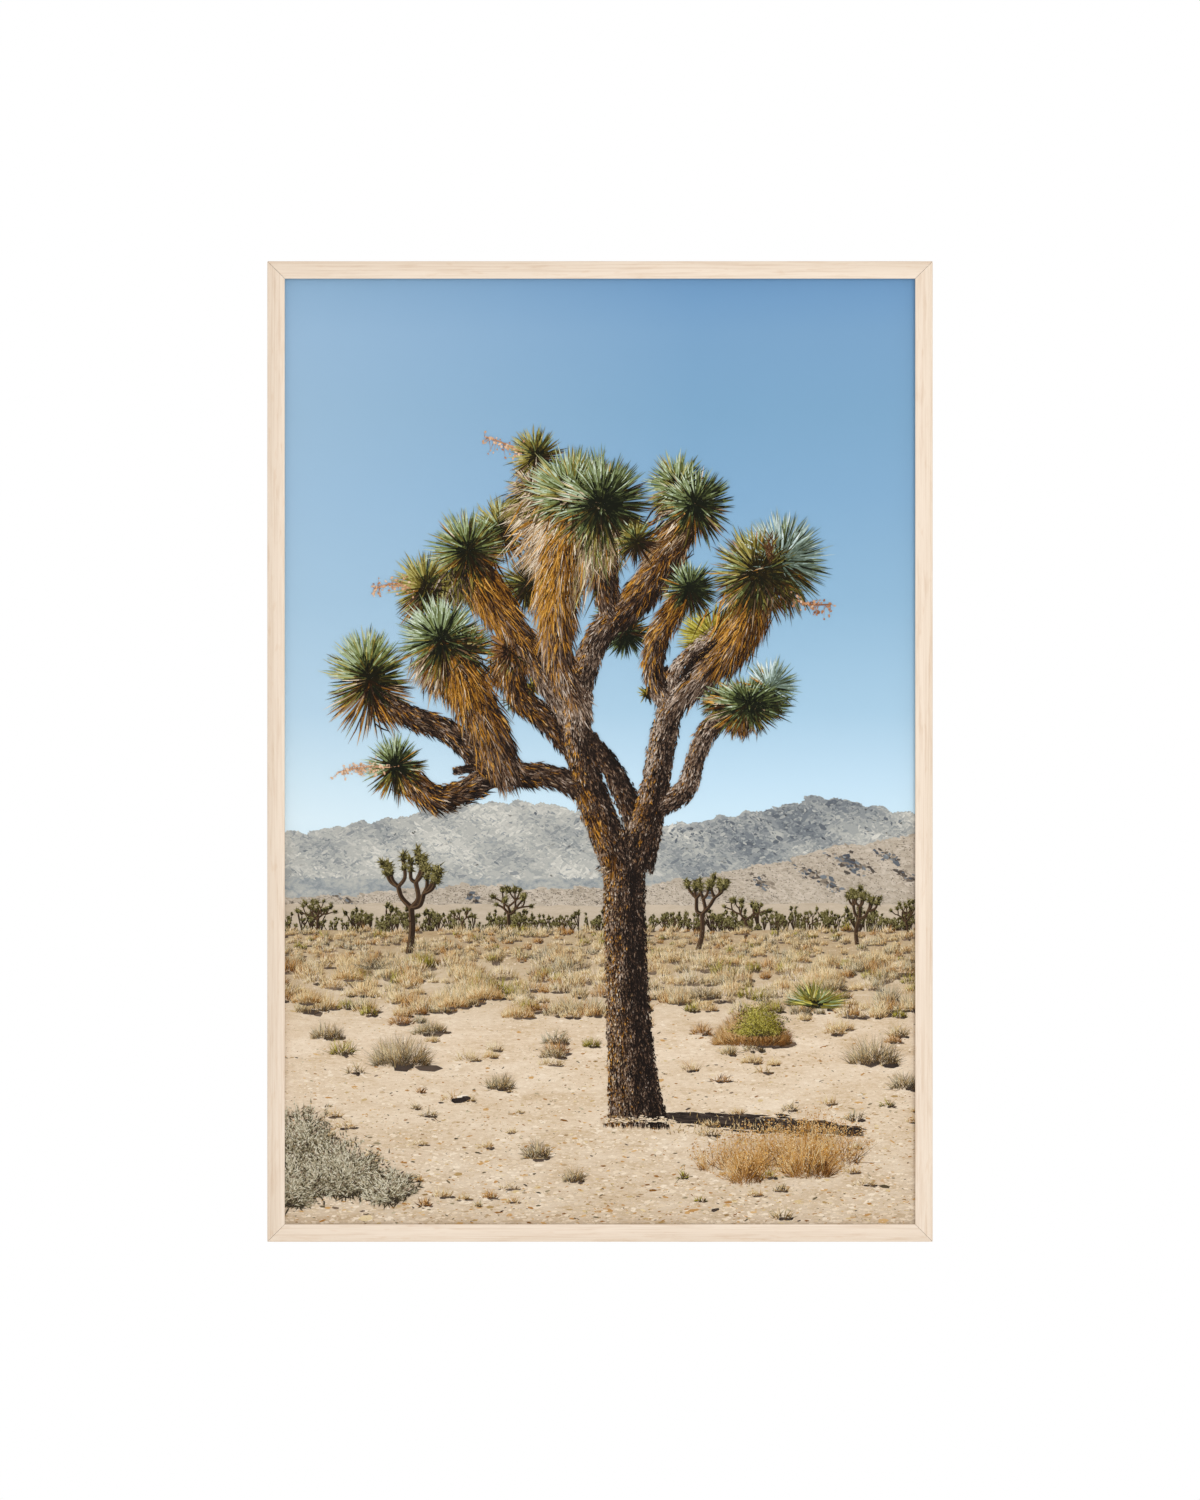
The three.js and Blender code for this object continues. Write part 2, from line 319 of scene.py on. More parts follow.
def speckledFinish(name, dark, middle, light, scale, roughness, metallic=0.0, bump=0.1):
    material, nodes, links, shader = newMaterial(name, roughness, metallic)
    noise = noiseNode(nodes, links, objectPlace(nodes, links), scale, 6, 0.65)
    ramp = rampNode(nodes, [(0.3, dark), (0.5, middle), (0.72, light)])
    links.new(noise.outputs["Fac"], ramp.inputs["Fac"])
    links.new(ramp.outputs["Color"], shader.inputs["Base Color"])
    bumpFrom(nodes, links, shader, noise.outputs["Fac"], bump, 0.0002)
    return material


dress("backing_board",
      speckledFinish("fibreboard", (122, 88, 58), (150, 112, 78), (176, 138, 100), 420, 0.82))
dress("tab_",
      speckledFinish("springSteel", (150, 152, 156), (176, 178, 182), (200, 202, 205), 160, 0.34, 1.0))
dress("wedge_",
      speckledFinish("wedgeSteel", (120, 122, 126), (146, 148, 152), (170, 172, 175), 160, 0.4, 1.0))
brassFinish = speckledFinish("platedBrass", (168, 128, 60), (196, 158, 88), (214, 180, 116), 180, 0.3, 1.0)
dress("hanger", brassFinish)
dress("nail_", brassFinish)
dress("bumper_",
      speckledFinish("feltPad", (198, 193, 184), (222, 218, 210), (236, 233, 227), 900, 0.95, 0.0, 0.5))

glazing, nodes, links, shader = newMaterial("clearAcrylic", 0.06)
shader.inputs["Base Color"].default_value = (0.01, 0.01, 0.01, 1)
shader.inputs["Specular IOR Level"].default_value = 0.2
shader.inputs["Alpha"].default_value = 0.006
dress("glazing", glazing)
print("fittings finished")


# Each family runs from its darkest to its lightest tone, and every tone is one plain ink.
inks = {
    "leaf": ((20, 21, 9), (50, 53, 24), (84, 91, 46), (118, 129, 76), (150, 163, 118), (190, 203, 178)),
    "blueLeaf": ((18, 21, 10), (48, 54, 27), (87, 96, 55), (120, 133, 90), (158, 172, 136),
                 (206, 217, 194)),
    "paleLeaf": ((84, 98, 84), (140, 158, 146), (186, 204, 200), (222, 233, 232)),
    "olive": ((30, 24, 8), (70, 60, 20), (112, 100, 38), (152, 140, 70), (192, 184, 122)),
    "straw": ((44, 31, 20), (96, 74, 52), (146, 120, 90), (192, 169, 138), (230, 213, 190)),
    "orange": ((34, 20, 7), (80, 48, 13), (134, 88, 23), (182, 125, 40), (214, 162, 78)),
    "rust": ((24, 14, 8), (56, 34, 18), (92, 60, 34), (130, 92, 58), (166, 128, 92)),
    "bark": ((22, 15, 11), (48, 34, 26), (82, 61, 46), (122, 95, 73), (160, 134, 110)),
    "grey": ((32, 23, 18), (74, 57, 46), (118, 98, 82), (162, 142, 125), (204, 188, 172)),
    "bloom": ((132, 84, 54), (178, 128, 92), (206, 162, 126), (226, 192, 162)),
    "farTrunk": ((34, 24, 16), (66, 48, 34), (104, 80, 56), (146, 118, 86)),
    "farLeaf": ((32, 27, 12), (62, 56, 26), (96, 88, 46), (132, 122, 74), (174, 164, 112)),
    "rock": ((76, 80, 88), (112, 118, 124), (150, 153, 152), (184, 183, 176), (210, 207, 198)),
    "scree": ((84, 76, 70), (130, 118, 104), (162, 149, 132), (184, 171, 154), (202, 189, 173)),
    "sand": ((160, 132, 96), (194, 168, 134), (217, 196, 168), (230, 212, 188), (241, 227, 208)),
    "ochre": ((100, 62, 24), (158, 110, 56), (196, 152, 94), (220, 186, 138)),
    "grass": ((84, 60, 30), (138, 108, 64), (186, 156, 106), (214, 190, 144), (234, 217, 180)),
    "scrub": ((52, 44, 30), (94, 82, 60), (134, 120, 92), (170, 156, 126), (202, 190, 164)),
    "sage": ((52, 44, 30), (94, 84, 62), (136, 126, 100), (176, 168, 142), (214, 206, 184)),
    "lime": ((44, 36, 8), (94, 82, 20), (140, 128, 42), (178, 166, 68), (208, 198, 104)),
    "shade": ((44, 36, 32), (74, 62, 54), (116, 98, 82), (160, 138, 114)),
}
tonesPerInk = 8
inkNames = list(inks)
inkMaterials = []
for name, keys in inks.items():
    keyTable = np.array(keys, float)
    for step in range(tonesPerInk):
        at = step / (tonesPerInk - 1) * (len(keys) - 1)
        colour = [np.interp(at, range(len(keys)), keyTable[:, channel]) for channel in range(3)]
        material, nodes, links, shader = newMaterial(f"ink_{name}_{step}", 0.75)
        shader.inputs["Base Color"].default_value = linear(colour)
        shader.inputs["Specular IOR Level"].default_value = 0.1
        inkMaterials.append(material)


def toneOf(name, value):
    step = np.clip((np.asarray(value) * tonesPerInk).astype(int), 0, tonesPerInk - 1)
    return inkNames.index(name) * tonesPerInk + step


def toneFrom(choices, weights, value, rng):
    value = np.asarray(value)
    picks = rng.choice(len(choices), size=value.shape, p=np.array(weights) / np.sum(weights))
    table = np.array([inkNames.index(name) for name in choices])
    step = np.clip((value * tonesPerInk).astype(int), 0, tonesPerInk - 1)
    return table[picks] * tonesPerInk + step


def inkStep(tone, shift):
    # the same ink, some tones darker or lighter
    base = tone // tonesPerInk * tonesPerInk
    return base + np.clip(tone - base + shift, 0, tonesPerInk - 1)


# A pile gathers flat shapes: points are (right, up, lift) in mm, lift is towards the viewer.
jitter = np.random.default_rng(3)


def newPile():
    return {"points": [], "faces": [], "tones": [], "count": 0}


def addShapes(pile, points, faceList):
    # points is (n, k, 3): n shapes of k points; faceList gives each face's corners and its tones
    many, corners = points.shape[0], points.shape[1]
    points[:, :, 2] += jitter.uniform(0, 0.014, (many, 1))  # no two shapes lie in one plane
    start = pile["count"] + np.arange(many)[:, None] * corners
    pile["points"].append(points.reshape(-1, 3))
    for corner, tone in faceList:
        pile["faces"].append(start + np.array(corner)[None, :])
        pile["tones"].append(np.broadcast_to(tone, (many,)))
    pile["count"] += many * corners


def addBlades(pile, root, tip, width, lift, liftTip, rootTone, tipTone, bend=0.0, belly=0.36):
    root, tip = np.asarray(root, float), np.asarray(tip, float)
    many = len(root)
    run = tip - root
    length = np.maximum(np.hypot(run[:, 0], run[:, 1]), 1e-4)[:, None]
    side = np.stack([-run[:, 1], run[:, 0]], 1) / length
    half = (np.broadcast_to(width, (many,)) / 2)[:, None]
    middle = root + run * belly + side * np.broadcast_to(bend, (many,))[:, None]
    lift, liftTip = np.broadcast_to(lift, (many,)), np.broadcast_to(liftTip, (many,))
    liftMiddle = lift + (liftTip - lift) * belly
    points = np.zeros((many, 5, 3))
    places = (root - side * half * 0.55, middle - side * half, tip, middle + side * half,
              root + side * half * 0.55)
    for slot, (place, rise) in enumerate(zip(places, (lift, liftMiddle, liftTip, liftMiddle, lift))):
        points[:, slot, :2] = place
        points[:, slot, 2] = rise
    addShapes(pile, points, [((0, 1, 3, 4), rootTone), ((1, 2, 3), tipTone)])


def addLeaves(pile, root, tip, width, lift, liftTip, rootTone, midTone, tipTone, bend=0.0):
    # like a blade, but stiffer, and in three tones from its dark foot to its point
    root, tip = np.asarray(root, float), np.asarray(tip, float)
    many = len(root)
    run = tip - root
    length = np.maximum(np.hypot(run[:, 0], run[:, 1]), 1e-4)[:, None]
    side = np.stack([-run[:, 1], run[:, 0]], 1) / length
    half = (np.broadcast_to(width, (many,)) / 2)[:, None]
    bow = side * np.broadcast_to(bend, (many,))[:, None]
    points = np.zeros((many, 7, 3))
    for corner, share, swell, edge in ((0, 0, 0.5, -1), (1, 0.3, 1, -1), (2, 0.7, 0.9, -1), (3, 1, 0, 1),
                                       (4, 0.7, 0.9, 1), (5, 0.3, 1, 1), (6, 0, 0.5, 1)):
        points[:, corner, :2] = (root + run * share + bow * 4 * share * (1 - share)
                                 + side * half * swell * edge)
        points[:, corner, 2] = lift + (liftTip - lift) * share
    addShapes(pile, points, [((0, 1, 5, 6), rootTone), ((1, 2, 4, 5), midTone), ((2, 3, 4), tipTone)])


def addDabs(pile, middle, halfWide, halfHigh, turn, lift, tone, rng, corners=6, rough=0.3):
    middle = np.asarray(middle, float)
    many = len(middle)
    angle = (np.arange(corners) / corners * 2 * math.pi)[None, :] + rng.uniform(0, 1, (many, 1))
    reach = 1 + rng.uniform(-rough, rough, (many, corners))
    x = np.cos(angle) * reach * np.broadcast_to(halfWide, (many,))[:, None]
    y = np.sin(angle) * reach * np.broadcast_to(halfHigh, (many,))[:, None]
    turn = np.broadcast_to(turn, (many,))[:, None]
    points = np.zeros((many, corners, 3))
    points[:, :, 0] = middle[:, :1] + x * np.cos(turn) - y * np.sin(turn)
    points[:, :, 1] = middle[:, 1:2] + x * np.sin(turn) + y * np.cos(turn)
    points[:, :, 2] = np.broadcast_to(lift, (many,))[:, None]
    addShapes(pile, points, [(tuple(range(corners)), tone)])


def addRibbon(pile, path, lift, tone, share=0.97):
    run = np.gradient(path[:, :2], axis=0)
    run /= np.hypot(run[:, 0], run[:, 1])[:, None]
    side = np.stack([-run[:, 1], run[:, 0]], 1) * path[:, 2:3] * share
    left, right = path[:, :2] + side, path[:, :2] - side
    many = len(path) - 1
    points = np.zeros((many, 4, 3))
    for slot, place in enumerate((right[:-1], right[1:], left[1:], left[:-1])):
        points[:, slot, :2] = place
    points[:, :, 2] = np.asarray(lift).reshape(-1, 1) if np.ndim(lift) else lift
    addShapes(pile, points, [((0, 1, 2, 3), tone)])


def smoothPath(points, step=2.5):
    # a curve through the places, with a sample every few mm
    table = np.array(points, float)
    ends = np.vstack([2 * table[0] - table[1], table, 2 * table[-1] - table[-2]])
    out = []
    for i in range(1, len(ends) - 2):
        a, b, c, d = ends[i - 1], ends[i], ends[i + 1], ends[i + 2]
        many = max(2, int(np.hypot(*(c - b)[:2]) / step))
        t = np.linspace(0, 1, many, endpoint=False)[:, None]
        out.append(0.5 * (2 * b + (c - a) * t + (2 * a - 5 * b + 4 * c - d) * t ** 2
                          + (3 * b - a - 3 * c + d) * t ** 3))
    return np.vstack(out + [table[-1:]])


def clipPile(points, overlap):
    low, highX, highY = -overlap, pictureWide + overlap, pictureHigh + overlap
    points[:, 0] = np.clip(points[:, 0], low, highX)
    points[:, 1] = np.clip(points[:, 1], low, highY)
    return points


def printPile(name, pile):
    points = clipPile(np.concatenate(pile["points"]), paper["overlap"])
    world = np.empty_like(points)
    world[:, 0] = sightLeft + points[:, 0] * mm
    world[:, 1] = paperY - points[:, 2] * mm
    world[:, 2] = sightBottom + points[:, 1] * mm
    faces = []
    for block in pile["faces"]:
        faces.extend(block.tolist())
    tones = np.concatenate(pile["tones"])
    mesh = bpy.data.meshes.new(name)
    mesh.from_pydata(world.tolist(), [], faces)
    used, local = np.unique(tones, return_inverse=True)
    for tone in used:
        mesh.materials.append(inkMaterials[int(tone)])
    mesh.polygons.foreach_set("material_index", local.astype(np.int32))
    mesh.update()
    piece = bpy.data.objects.new(name, mesh)
    bpy.context.collection.objects.link(piece)
    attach(piece, "root")
    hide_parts("print")
    print("printed", name, len(faces), "shapes")
    return piece


def printSheet(name, top, bottom, lift, material, columns=2):
    # a sheet of paper colour whose top edge follows the heights given by top(right)
    deselectAll()
    wide = pictureWide + 2 * paper["overlap"]
    bpy.ops.mesh.primitive_grid_add(x_subdivisions=columns, y_subdivisions=1, size=1,
                                    rotation=(math.pi / 2, 0, 0))
    sheet = bpy.context.object
    sheet.name = name
    sheet.scale = (wide * mm, 1, 1)
    sheet.location = (centre.x, paperY - lift * mm, 0)
    applyPlace(sheet)
    for vertex in sheet.data.vertices:
        right = (vertex.co.x - sightLeft) / mm
        vertex.co.z = sightBottom + (top(right) if vertex.co.z > 0 else bottom) * mm
    sheet.data.materials.append(material)
    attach(sheet, "root")
    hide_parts("print")
    return sheet


def rampAcross(nodes, links, axis, start, end):
    # 0 to 1 between two places, in mm on the picture, to the right or up
    coordinates = nodes.new("ShaderNodeTexCoord")
    parts = nodes.new("ShaderNodeSeparateXYZ")
    spread = nodes.new("ShaderNodeMapRange")
    origin = sightLeft if axis == "X" else sightBottom
    spread.inputs["From Min"].default_value = origin + start * mm
    spread.inputs["From Max"].default_value = origin + end * mm
    links.new(coordinates.outputs["Object"], parts.inputs[0])
    links.new(parts.outputs[axis], spread.inputs["Value"])
    return spread.outputs["Result"]


sky = {
    "left": [(0.0, (216, 234, 243)), (0.07, (205, 227, 239)), (0.2, (181, 209, 228)),
             (0.4, (165, 196, 219)), (0.6, (157, 189, 215)),
             (0.75, (153, 185, 211)), (0.9, (151, 183, 211)), (1.0, (141, 175, 205))],
    "right": [(0.0, (204, 229, 243)), (0.07, (193, 221, 239)), (0.2, (168, 202, 225)),
              (0.4, (145, 183, 211)), (0.6, (131, 171, 204)),
              (0.75, (124, 165, 198)), (0.9, (121, 161, 197)), (1.0, (110, 152, 193))],
    "horizon": 385,
}
skyFinish, nodes, links, shader = newMaterial("skyPrint", 0.75)
shader.inputs["Specular IOR Level"].default_value = 0.1
upward = rampAcross(nodes, links, "Z", sky["horizon"], pictureHigh)
leftRamp = rampNode(nodes, sky["left"])
rightRamp = rampNode(nodes, sky["right"])
links.new(upward, leftRamp.inputs["Fac"])
links.new(upward, rightRamp.inputs["Fac"])
skyColour = mixColours(nodes, links, rampAcross(nodes, links, "X", 0, pictureWide * 0.65),
                       leftRamp.outputs["Color"], rightRamp.outputs["Color"])
links.new(skyColour, shader.inputs["Base Color"])

deselectAll()
cardHigh = Vector((printHigh.x, printHigh.y, printHigh.z))
cardLow = Vector((printLow.x, paperY, printLow.z))
bpy.ops.mesh.primitive_cube_add(size=1, location=(cardLow + cardHigh) / 2)
card = bpy.context.object
card.name = "print_card"
card.scale = cardHigh - cardLow
applyPlace(card)
card.data.materials.append(skyFinish)
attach(card, "root")
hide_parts("print")
print("sky printed")


groundFar = 279  # mm up the picture, where the sand meets the plain
lifts = {"range": 0.10, "rangeRock": 0.13, "hill": 0.20, "hillRock": 0.23, "plain": 0.28, "farTrees": 0.34,
         "ground": 0.38, "grit": 0.40, "shadow": 0.46, "growth": 0.50, "tree": 0.95, "front": 1.45}

rangeShape = {
    "points": ((-10, 372), (70, 380), (140, 396), (210, 404), (280, 394), (350, 380), (430, 388),
               (500, 406), (560, 400), (610, 386)),
    "rough": 2.2, "seed": 11,
}
hillShape = {
    "points": ((-10, 308), (80, 314), (170, 322), (260, 318), (350, 322), (440, 338), (520, 358),
               (610, 372)),
    "rough": 1.4, "seed": 12,
}


def ridge(shape):
    # heights through a few points, broken up by seeded waves
    rng = np.random.default_rng(shape["seed"])
    at, high = np.array(shape["points"], float).T
    waves = [(rng.uniform(0.7, 1.3) * 2 * math.pi / span, rng.uniform(0, 6.28), share)
             for span, share in ((70, 0.8), (33, 0.6), (17, 0.45), (9, 0.32), (4.5, 0.22), (2.3, 0.12))]

    def height(right):
        right = np.asarray(right, float)
        smooth = np.interp(right, at, high)
        for rate, phase, share in waves:
            smooth = smooth + shape["rough"] * share * np.sin(right * rate + phase)
        return smooth
    return height


rangeTop = ridge(rangeShape)
hillTop = ridge(hillShape)


def earthFinish(name, stops, broadScale, fineScale, stretch, mistStops=None, mistSpan=None):
    material, nodes, links, shader = newMaterial(name, 0.75)
    shader.inputs["Specular IOR Level"].default_value = 0.1
    place = objectPlace(nodes, links, stretch)
    broad = noiseNode(nodes, links, place, broadScale, 5, 0.6, 0.4)
    fine = noiseNode(nodes, links, place, fineScale, 5, 0.7, 0.2)
    blend = mixColours(nodes, links, 0.5, broad.outputs["Color"], fine.outputs["Color"])
    grey = nodes.new("ShaderNodeRGBToBW")
    links.new(blend, grey.inputs[0])
    ramp = rampNode(nodes, stops)
    links.new(grey.outputs[0], ramp.inputs["Fac"])
    colour = ramp.outputs["Color"]
    if mistStops:
        mist = rampNode(nodes, mistStops)
        links.new(rampAcross(nodes, links, "Z", *mistSpan), mist.inputs["Fac"])
        colour = mixColours(nodes, links, 1.0, colour, mist.outputs["Color"], "MULTIPLY")
    links.new(colour, shader.inputs["Base Color"])
    return material


rangeFinish = earthFinish(
    "rangePrint",
    [(0.36, (116, 124, 130)), (0.45, (150, 155, 156)), (0.52, (176, 176, 170)), (0.62, (196, 192, 183)),
     (0.7, (206, 202, 193))], 34, 190, (1, 1, 1.5))
hillFinish = earthFinish(
    "hillPrint",
    [(0.34, (158, 145, 128)), (0.45, (178, 164, 147)), (0.54, (190, 176, 158)), (0.68, (202, 188, 171))],
    26, 260, (1, 1, 1.5))
plainFinish = earthFinish(
    "plainPrint", [(0.35, (178, 162, 141)), (0.5, (193, 177, 156)), (0.65, (206, 190, 170))], 30, 240,
    (1, 1, 6))
groundFinish = earthFinish(
    "groundPrint",
    [(0.34, (188, 162, 128)), (0.43, (210, 188, 158)), (0.5, (222, 203, 178)), (0.58, (232, 216, 194)),
     (0.68, (240, 226, 207))], 22, 170, (1, 1, 4.5),
    [(0.0, (236, 232, 228)), (0.35, (250, 247, 244)), (0.62, (255, 252, 250)), (0.85, (226, 220, 208)),
     (1.0, (206, 196, 176))], (0, 285))


def plainTop(right):
    return 304 + 1.2 * math.sin(right / 60) + 0.7 * math.sin(right / 13) + 0.4 * math.sin(right / 4.1)


def groundTop(right):
    return groundFar + 0.8 * math.sin(right / 23)


printSheet("far_range", rangeTop, 262, lifts["range"], rangeFinish, 420)
printSheet("near_hill", hillTop, 290, lifts["hill"], hillFinish, 420)
printSheet("plain", plainTop, 262, lifts["plain"], plainFinish, 300)
printSheet("ground", groundTop, -4, lifts["ground"], groundFinish, 120)


def rockPile():
    rng = np.random.default_rng(21)
    pile = newPile()
    # far range: slanting facets of light and blue shade
    many = 15000
    right = rng.uniform(0, 600, many)
    top, foot = rangeTop(right), np.maximum(hillTop(right), 330)
    share = rng.uniform(0, 1, many)
    up = foot + (top - foot) * share
    fold = np.sin(right / 13 + up / 9) + np.sin(right / 31 - up / 15 + 2) + rng.normal(0, 0.6, many)
    wide = rng.gamma(2.2, 0.8, many) + 0.5
    up = np.minimum(up, top - wide * 0.75)
    value = 0.72 + 0.09 * fold + rng.normal(0, 0.08, many) + 0.04 * (right < 300) - 0.04 * share
    darkSide = 0.21 * np.exp(-((right - 480) / 110) ** 2)
    value = value - darkSide - 0.03
    tilt = np.where(rng.random(many) < 0.5, -0.5, 0.45) + rng.normal(0, 0.25, many)
    addDabs(pile, np.stack([right, up], 1), wide, wide * 0.32, tilt,
            lifts["rangeRock"] + rng.uniform(0, 0.04, many),
            toneOf("rock", value), rng)
    # dark crags on the right of the range
    many = 800
    right = rng.normal(440, 70, many)
    up = rangeTop(right) - np.abs(rng.normal(8, 11, many)) - 4
    keep = up > hillTop(right) + 2
    right, up = right[keep], up[keep]
    wide = rng.gamma(1.7, 0.65, len(right)) + 0.35
    addDabs(pile, np.stack([right, up], 1), wide, wide * 0.5, rng.normal(-0.35, 0.5, len(right)),
            lifts["rangeRock"] + 0.05, toneOf("rock", rng.uniform(0.15, 0.65, len(right))), rng)
    printPile("range_rocks", pile)

    pile = newPile()
    many = 16000
    right = rng.uniform(0, 600, many)
    top = hillTop(right)
    up = 300 + (top - 300) * rng.uniform(0, 1, many)
    value = 0.76 + rng.normal(0, 0.11, many) + 0.05 * np.sin(right / 21 + up / 11)
    wide = rng.gamma(2.0, 0.6, many) + 0.3
    addDabs(pile, np.stack([right, up], 1), wide, wide * 0.4, rng.normal(-0.2, 0.3, many),
            lifts["hillRock"] + rng.uniform(0, 0.02, many), toneOf("scree", value), rng)
    # specks of brush, and outcrops of dark rock in loose clusters
    many = 3800
    right = rng.uniform(0, 600, many)
    up = 296 + (hillTop(right) - 296) * rng.uniform(0, 0.97, many)
    addDabs(pile, np.stack([right, up], 1), rng.uniform(0.3, 0.8, many), rng.uniform(0.2, 0.45, many), 0.0,
            lifts["hillRock"] + 0.025, toneOf("scree", rng.uniform(0.0, 0.35, many)), rng)
    for spotRight, spotUp, spread, count in ((540, 342, 9, 150), (575, 350, 6, 60), (500, 334, 8, 60),
                                             (455, 324, 7, 50), (590, 332, 6, 40), (520, 322, 8, 40),
                                             (180, 310, 6, 40), (400, 316, 8, 50), (60, 307, 5, 30)):
        at = rng.normal(0, 1, (count, 2)) * (spread, spread * 0.4)
        at[:, 1] -= at[:, 0] * 0.35
        wide = rng.gamma(2.2, 0.55, count) + 0.4
        addDabs(pile, at + (spotRight, spotUp), wide, wide * 0.5, rng.normal(-0.4, 0.3, count),
                lifts["hillRock"] + 0.03,
                toneFrom(("scree", "rock"), (2, 1), rng.uniform(0, 0.45, count), rng), rng)
    printPile("hill_rocks", pile)


rockPile()


def addTwigHeads(pile, ends, angles, size, lift, rng, many=34, value=0.40):
    # small spiky heads, all in one go: a dark core and short stiff leaves
    ends, angles = np.asarray(ends, float), np.asarray(angles, float)
    size = np.broadcast_to(size, (len(ends),))
    along = np.stack([np.cos(angles), np.sin(angles)], 1)
    addDabs(pile, ends + along * (size * 0.25)[:, None], size * 0.42, size * 0.55, angles - math.pi / 2,
            lift + 0.014,
            toneOf("farLeaf", 0.10), rng, 7)
    pick = np.repeat(np.arange(len(ends)), many)
    turn = angles[pick] + rng.uniform(-2.3, 2.3, len(pick))
    root = ends[pick] + along[pick] * (rng.uniform(-0.1, 0.7, len(pick)) * size[pick])[:, None]
    way = np.stack([np.cos(turn), np.sin(turn)], 1)
    tip = root + way * (size[pick] * rng.uniform(0.45, 0.95, len(pick)))[:, None]
    tone = value - 0.12 * way[:, 0] + 0.20 * way[:, 1] + rng.normal(0, 0.14, len(pick))
    addBlades(pile, root, tip, np.maximum(size[pick] * 0.13, 0.3), lift + 0.02, lift + 0.03,
              toneOf("farLeaf", tone - 0.22), toneOf("farLeaf", tone + 0.1))


def addSmallTree(pile, foot, high, lift, rng, spread=1.0, headSize=0.10, airy=False):
    # a forking trunk; airy trees have few, thick arms that turn up and end in clubs
    foot = np.array(foot, float)
    levels, upturn = (2, 0.5) if airy else (3, 0.2)
    arms = (0.17, 0.27) if airy else (0.11, 0.19)
    stack = [(foot, math.pi / 2 + rng.normal(0, 0.05), high * rng.uniform(0.36, 0.44), high * 0.034, 0)]
    ends, angles = [], []
    while stack:
        start, angle, length, half, level = stack.pop()
        end = start + length * np.array((math.cos(angle), math.sin(angle)))
        knee = (start + end) / 2 + rng.normal(0, length * 0.06, 2)
        if airy and level:
            knee += np.array((math.copysign(0.13, math.cos(angle)), -0.10)) * length
        path = smoothPath(((*start, half), (*knee, half * 0.9), (*end, half * 0.86)), 1.5)
        addRibbon(pile, path, lift, toneOf("farTrunk", 0.16 + rng.uniform(0, 0.12)), 1.0)
        lit = path.copy()
        lit[:, 0] -= half * 0.6
        lit[:, 2] *= 0.28
        addRibbon(pile, lit, lift + 0.012, toneOf("farTrunk", 0.6), 1.0)
        if level >= levels or (level == 2 and rng.random() < 0.3):
            ends.append(end)
            angles.append(angle)
            if airy:
                ends.append(end - (end - knee) * 0.55)
                angles.append(angle)
            continue
        forks = 3 if level < 2 and rng.random() < 0.7 else 2
        fan = np.linspace(-0.75, 0.75, forks) * spread + rng.normal(0, 0.16, forks)
        for turn in fan:
            lean = angle + turn
            lean += (math.pi / 2 - lean) * upturn * level
            stack.append((end, lean, high * rng.uniform(*arms), half * 0.76, level + 1))
    addTwigHeads(pile, ends, angles, high * headSize * rng.uniform(0.75, 1.2, len(ends)), lift, rng, 26)


def distantTrees():
    rng = np.random.default_rng(31)
    pile = newPile()
    for _ in range(300):  # the far belt, many small crowns in a row
        right = rng.uniform(-2, 602)
        high = rng.gamma(6, 1.6) + 3.5
        foot = 275 + rng.uniform(-3, 7)
        lift = lifts["farTrees"] + (284 - foot) * 0.001
        many = int(rng.integers(3, 7))
        ends = np.stack([right + rng.normal(0, high * 0.22, many),
                         foot + high * rng.uniform(0.5, 1.0, many)], 1)
        addBlades(pile, np.stack([np.full(many, right), np.full(many, foot)], 1), ends, high * 0.07, lift,
                  lift, toneOf("farTrunk", 0.22), toneOf("farTrunk", 0.4), 0.0, 0.8)
        addTwigHeads(pile, ends, rng.normal(math.pi / 2, 0.4, many), high * rng.uniform(0.16, 0.25, many),
                     lift, rng, 10, 0.46)
    printPile("tree_belt", pile)
    pile = newPile()
    for right, foot, high, spread in ((30, 273, 40, 1.1), (72, 275, 20, 1.0), (170, 274, 30, 1.0),
                                      (212, 271, 56, 1.2), (266, 274, 22, 1.0), (368, 274, 24, 1.0),
                                      (438, 271, 48, 1.15), (470, 275, 20, 1.0), (500, 273, 28, 1.1),
                                      (592, 272, 38, 1.0)):
        addSmallTree(pile, (right, foot), high, lifts["farTrees"] + 0.06 + (300 - foot) * 0.002, rng,
                     spread)
    for right, foot, high, spread in ((545, 266, 62, 0.9), (394, 262, 76, 0.85), (118, 258, 100, 0.85)):
        addSmallTree(pile, (right, foot), high, lifts["farTrees"] + 0.2, rng, spread, 0.085, True)
    printPile("distant_trees", pile)


distantTrees()


def nearness(up):
    # 0 at the far edge of the ground, 1 at the bottom of the picture
    return np.clip((groundFar - np.asarray(up, float)) / groundFar, 0, 1)


def scale(up):
    return 0.16 + 0.84 * nearness(up) ** 0.8


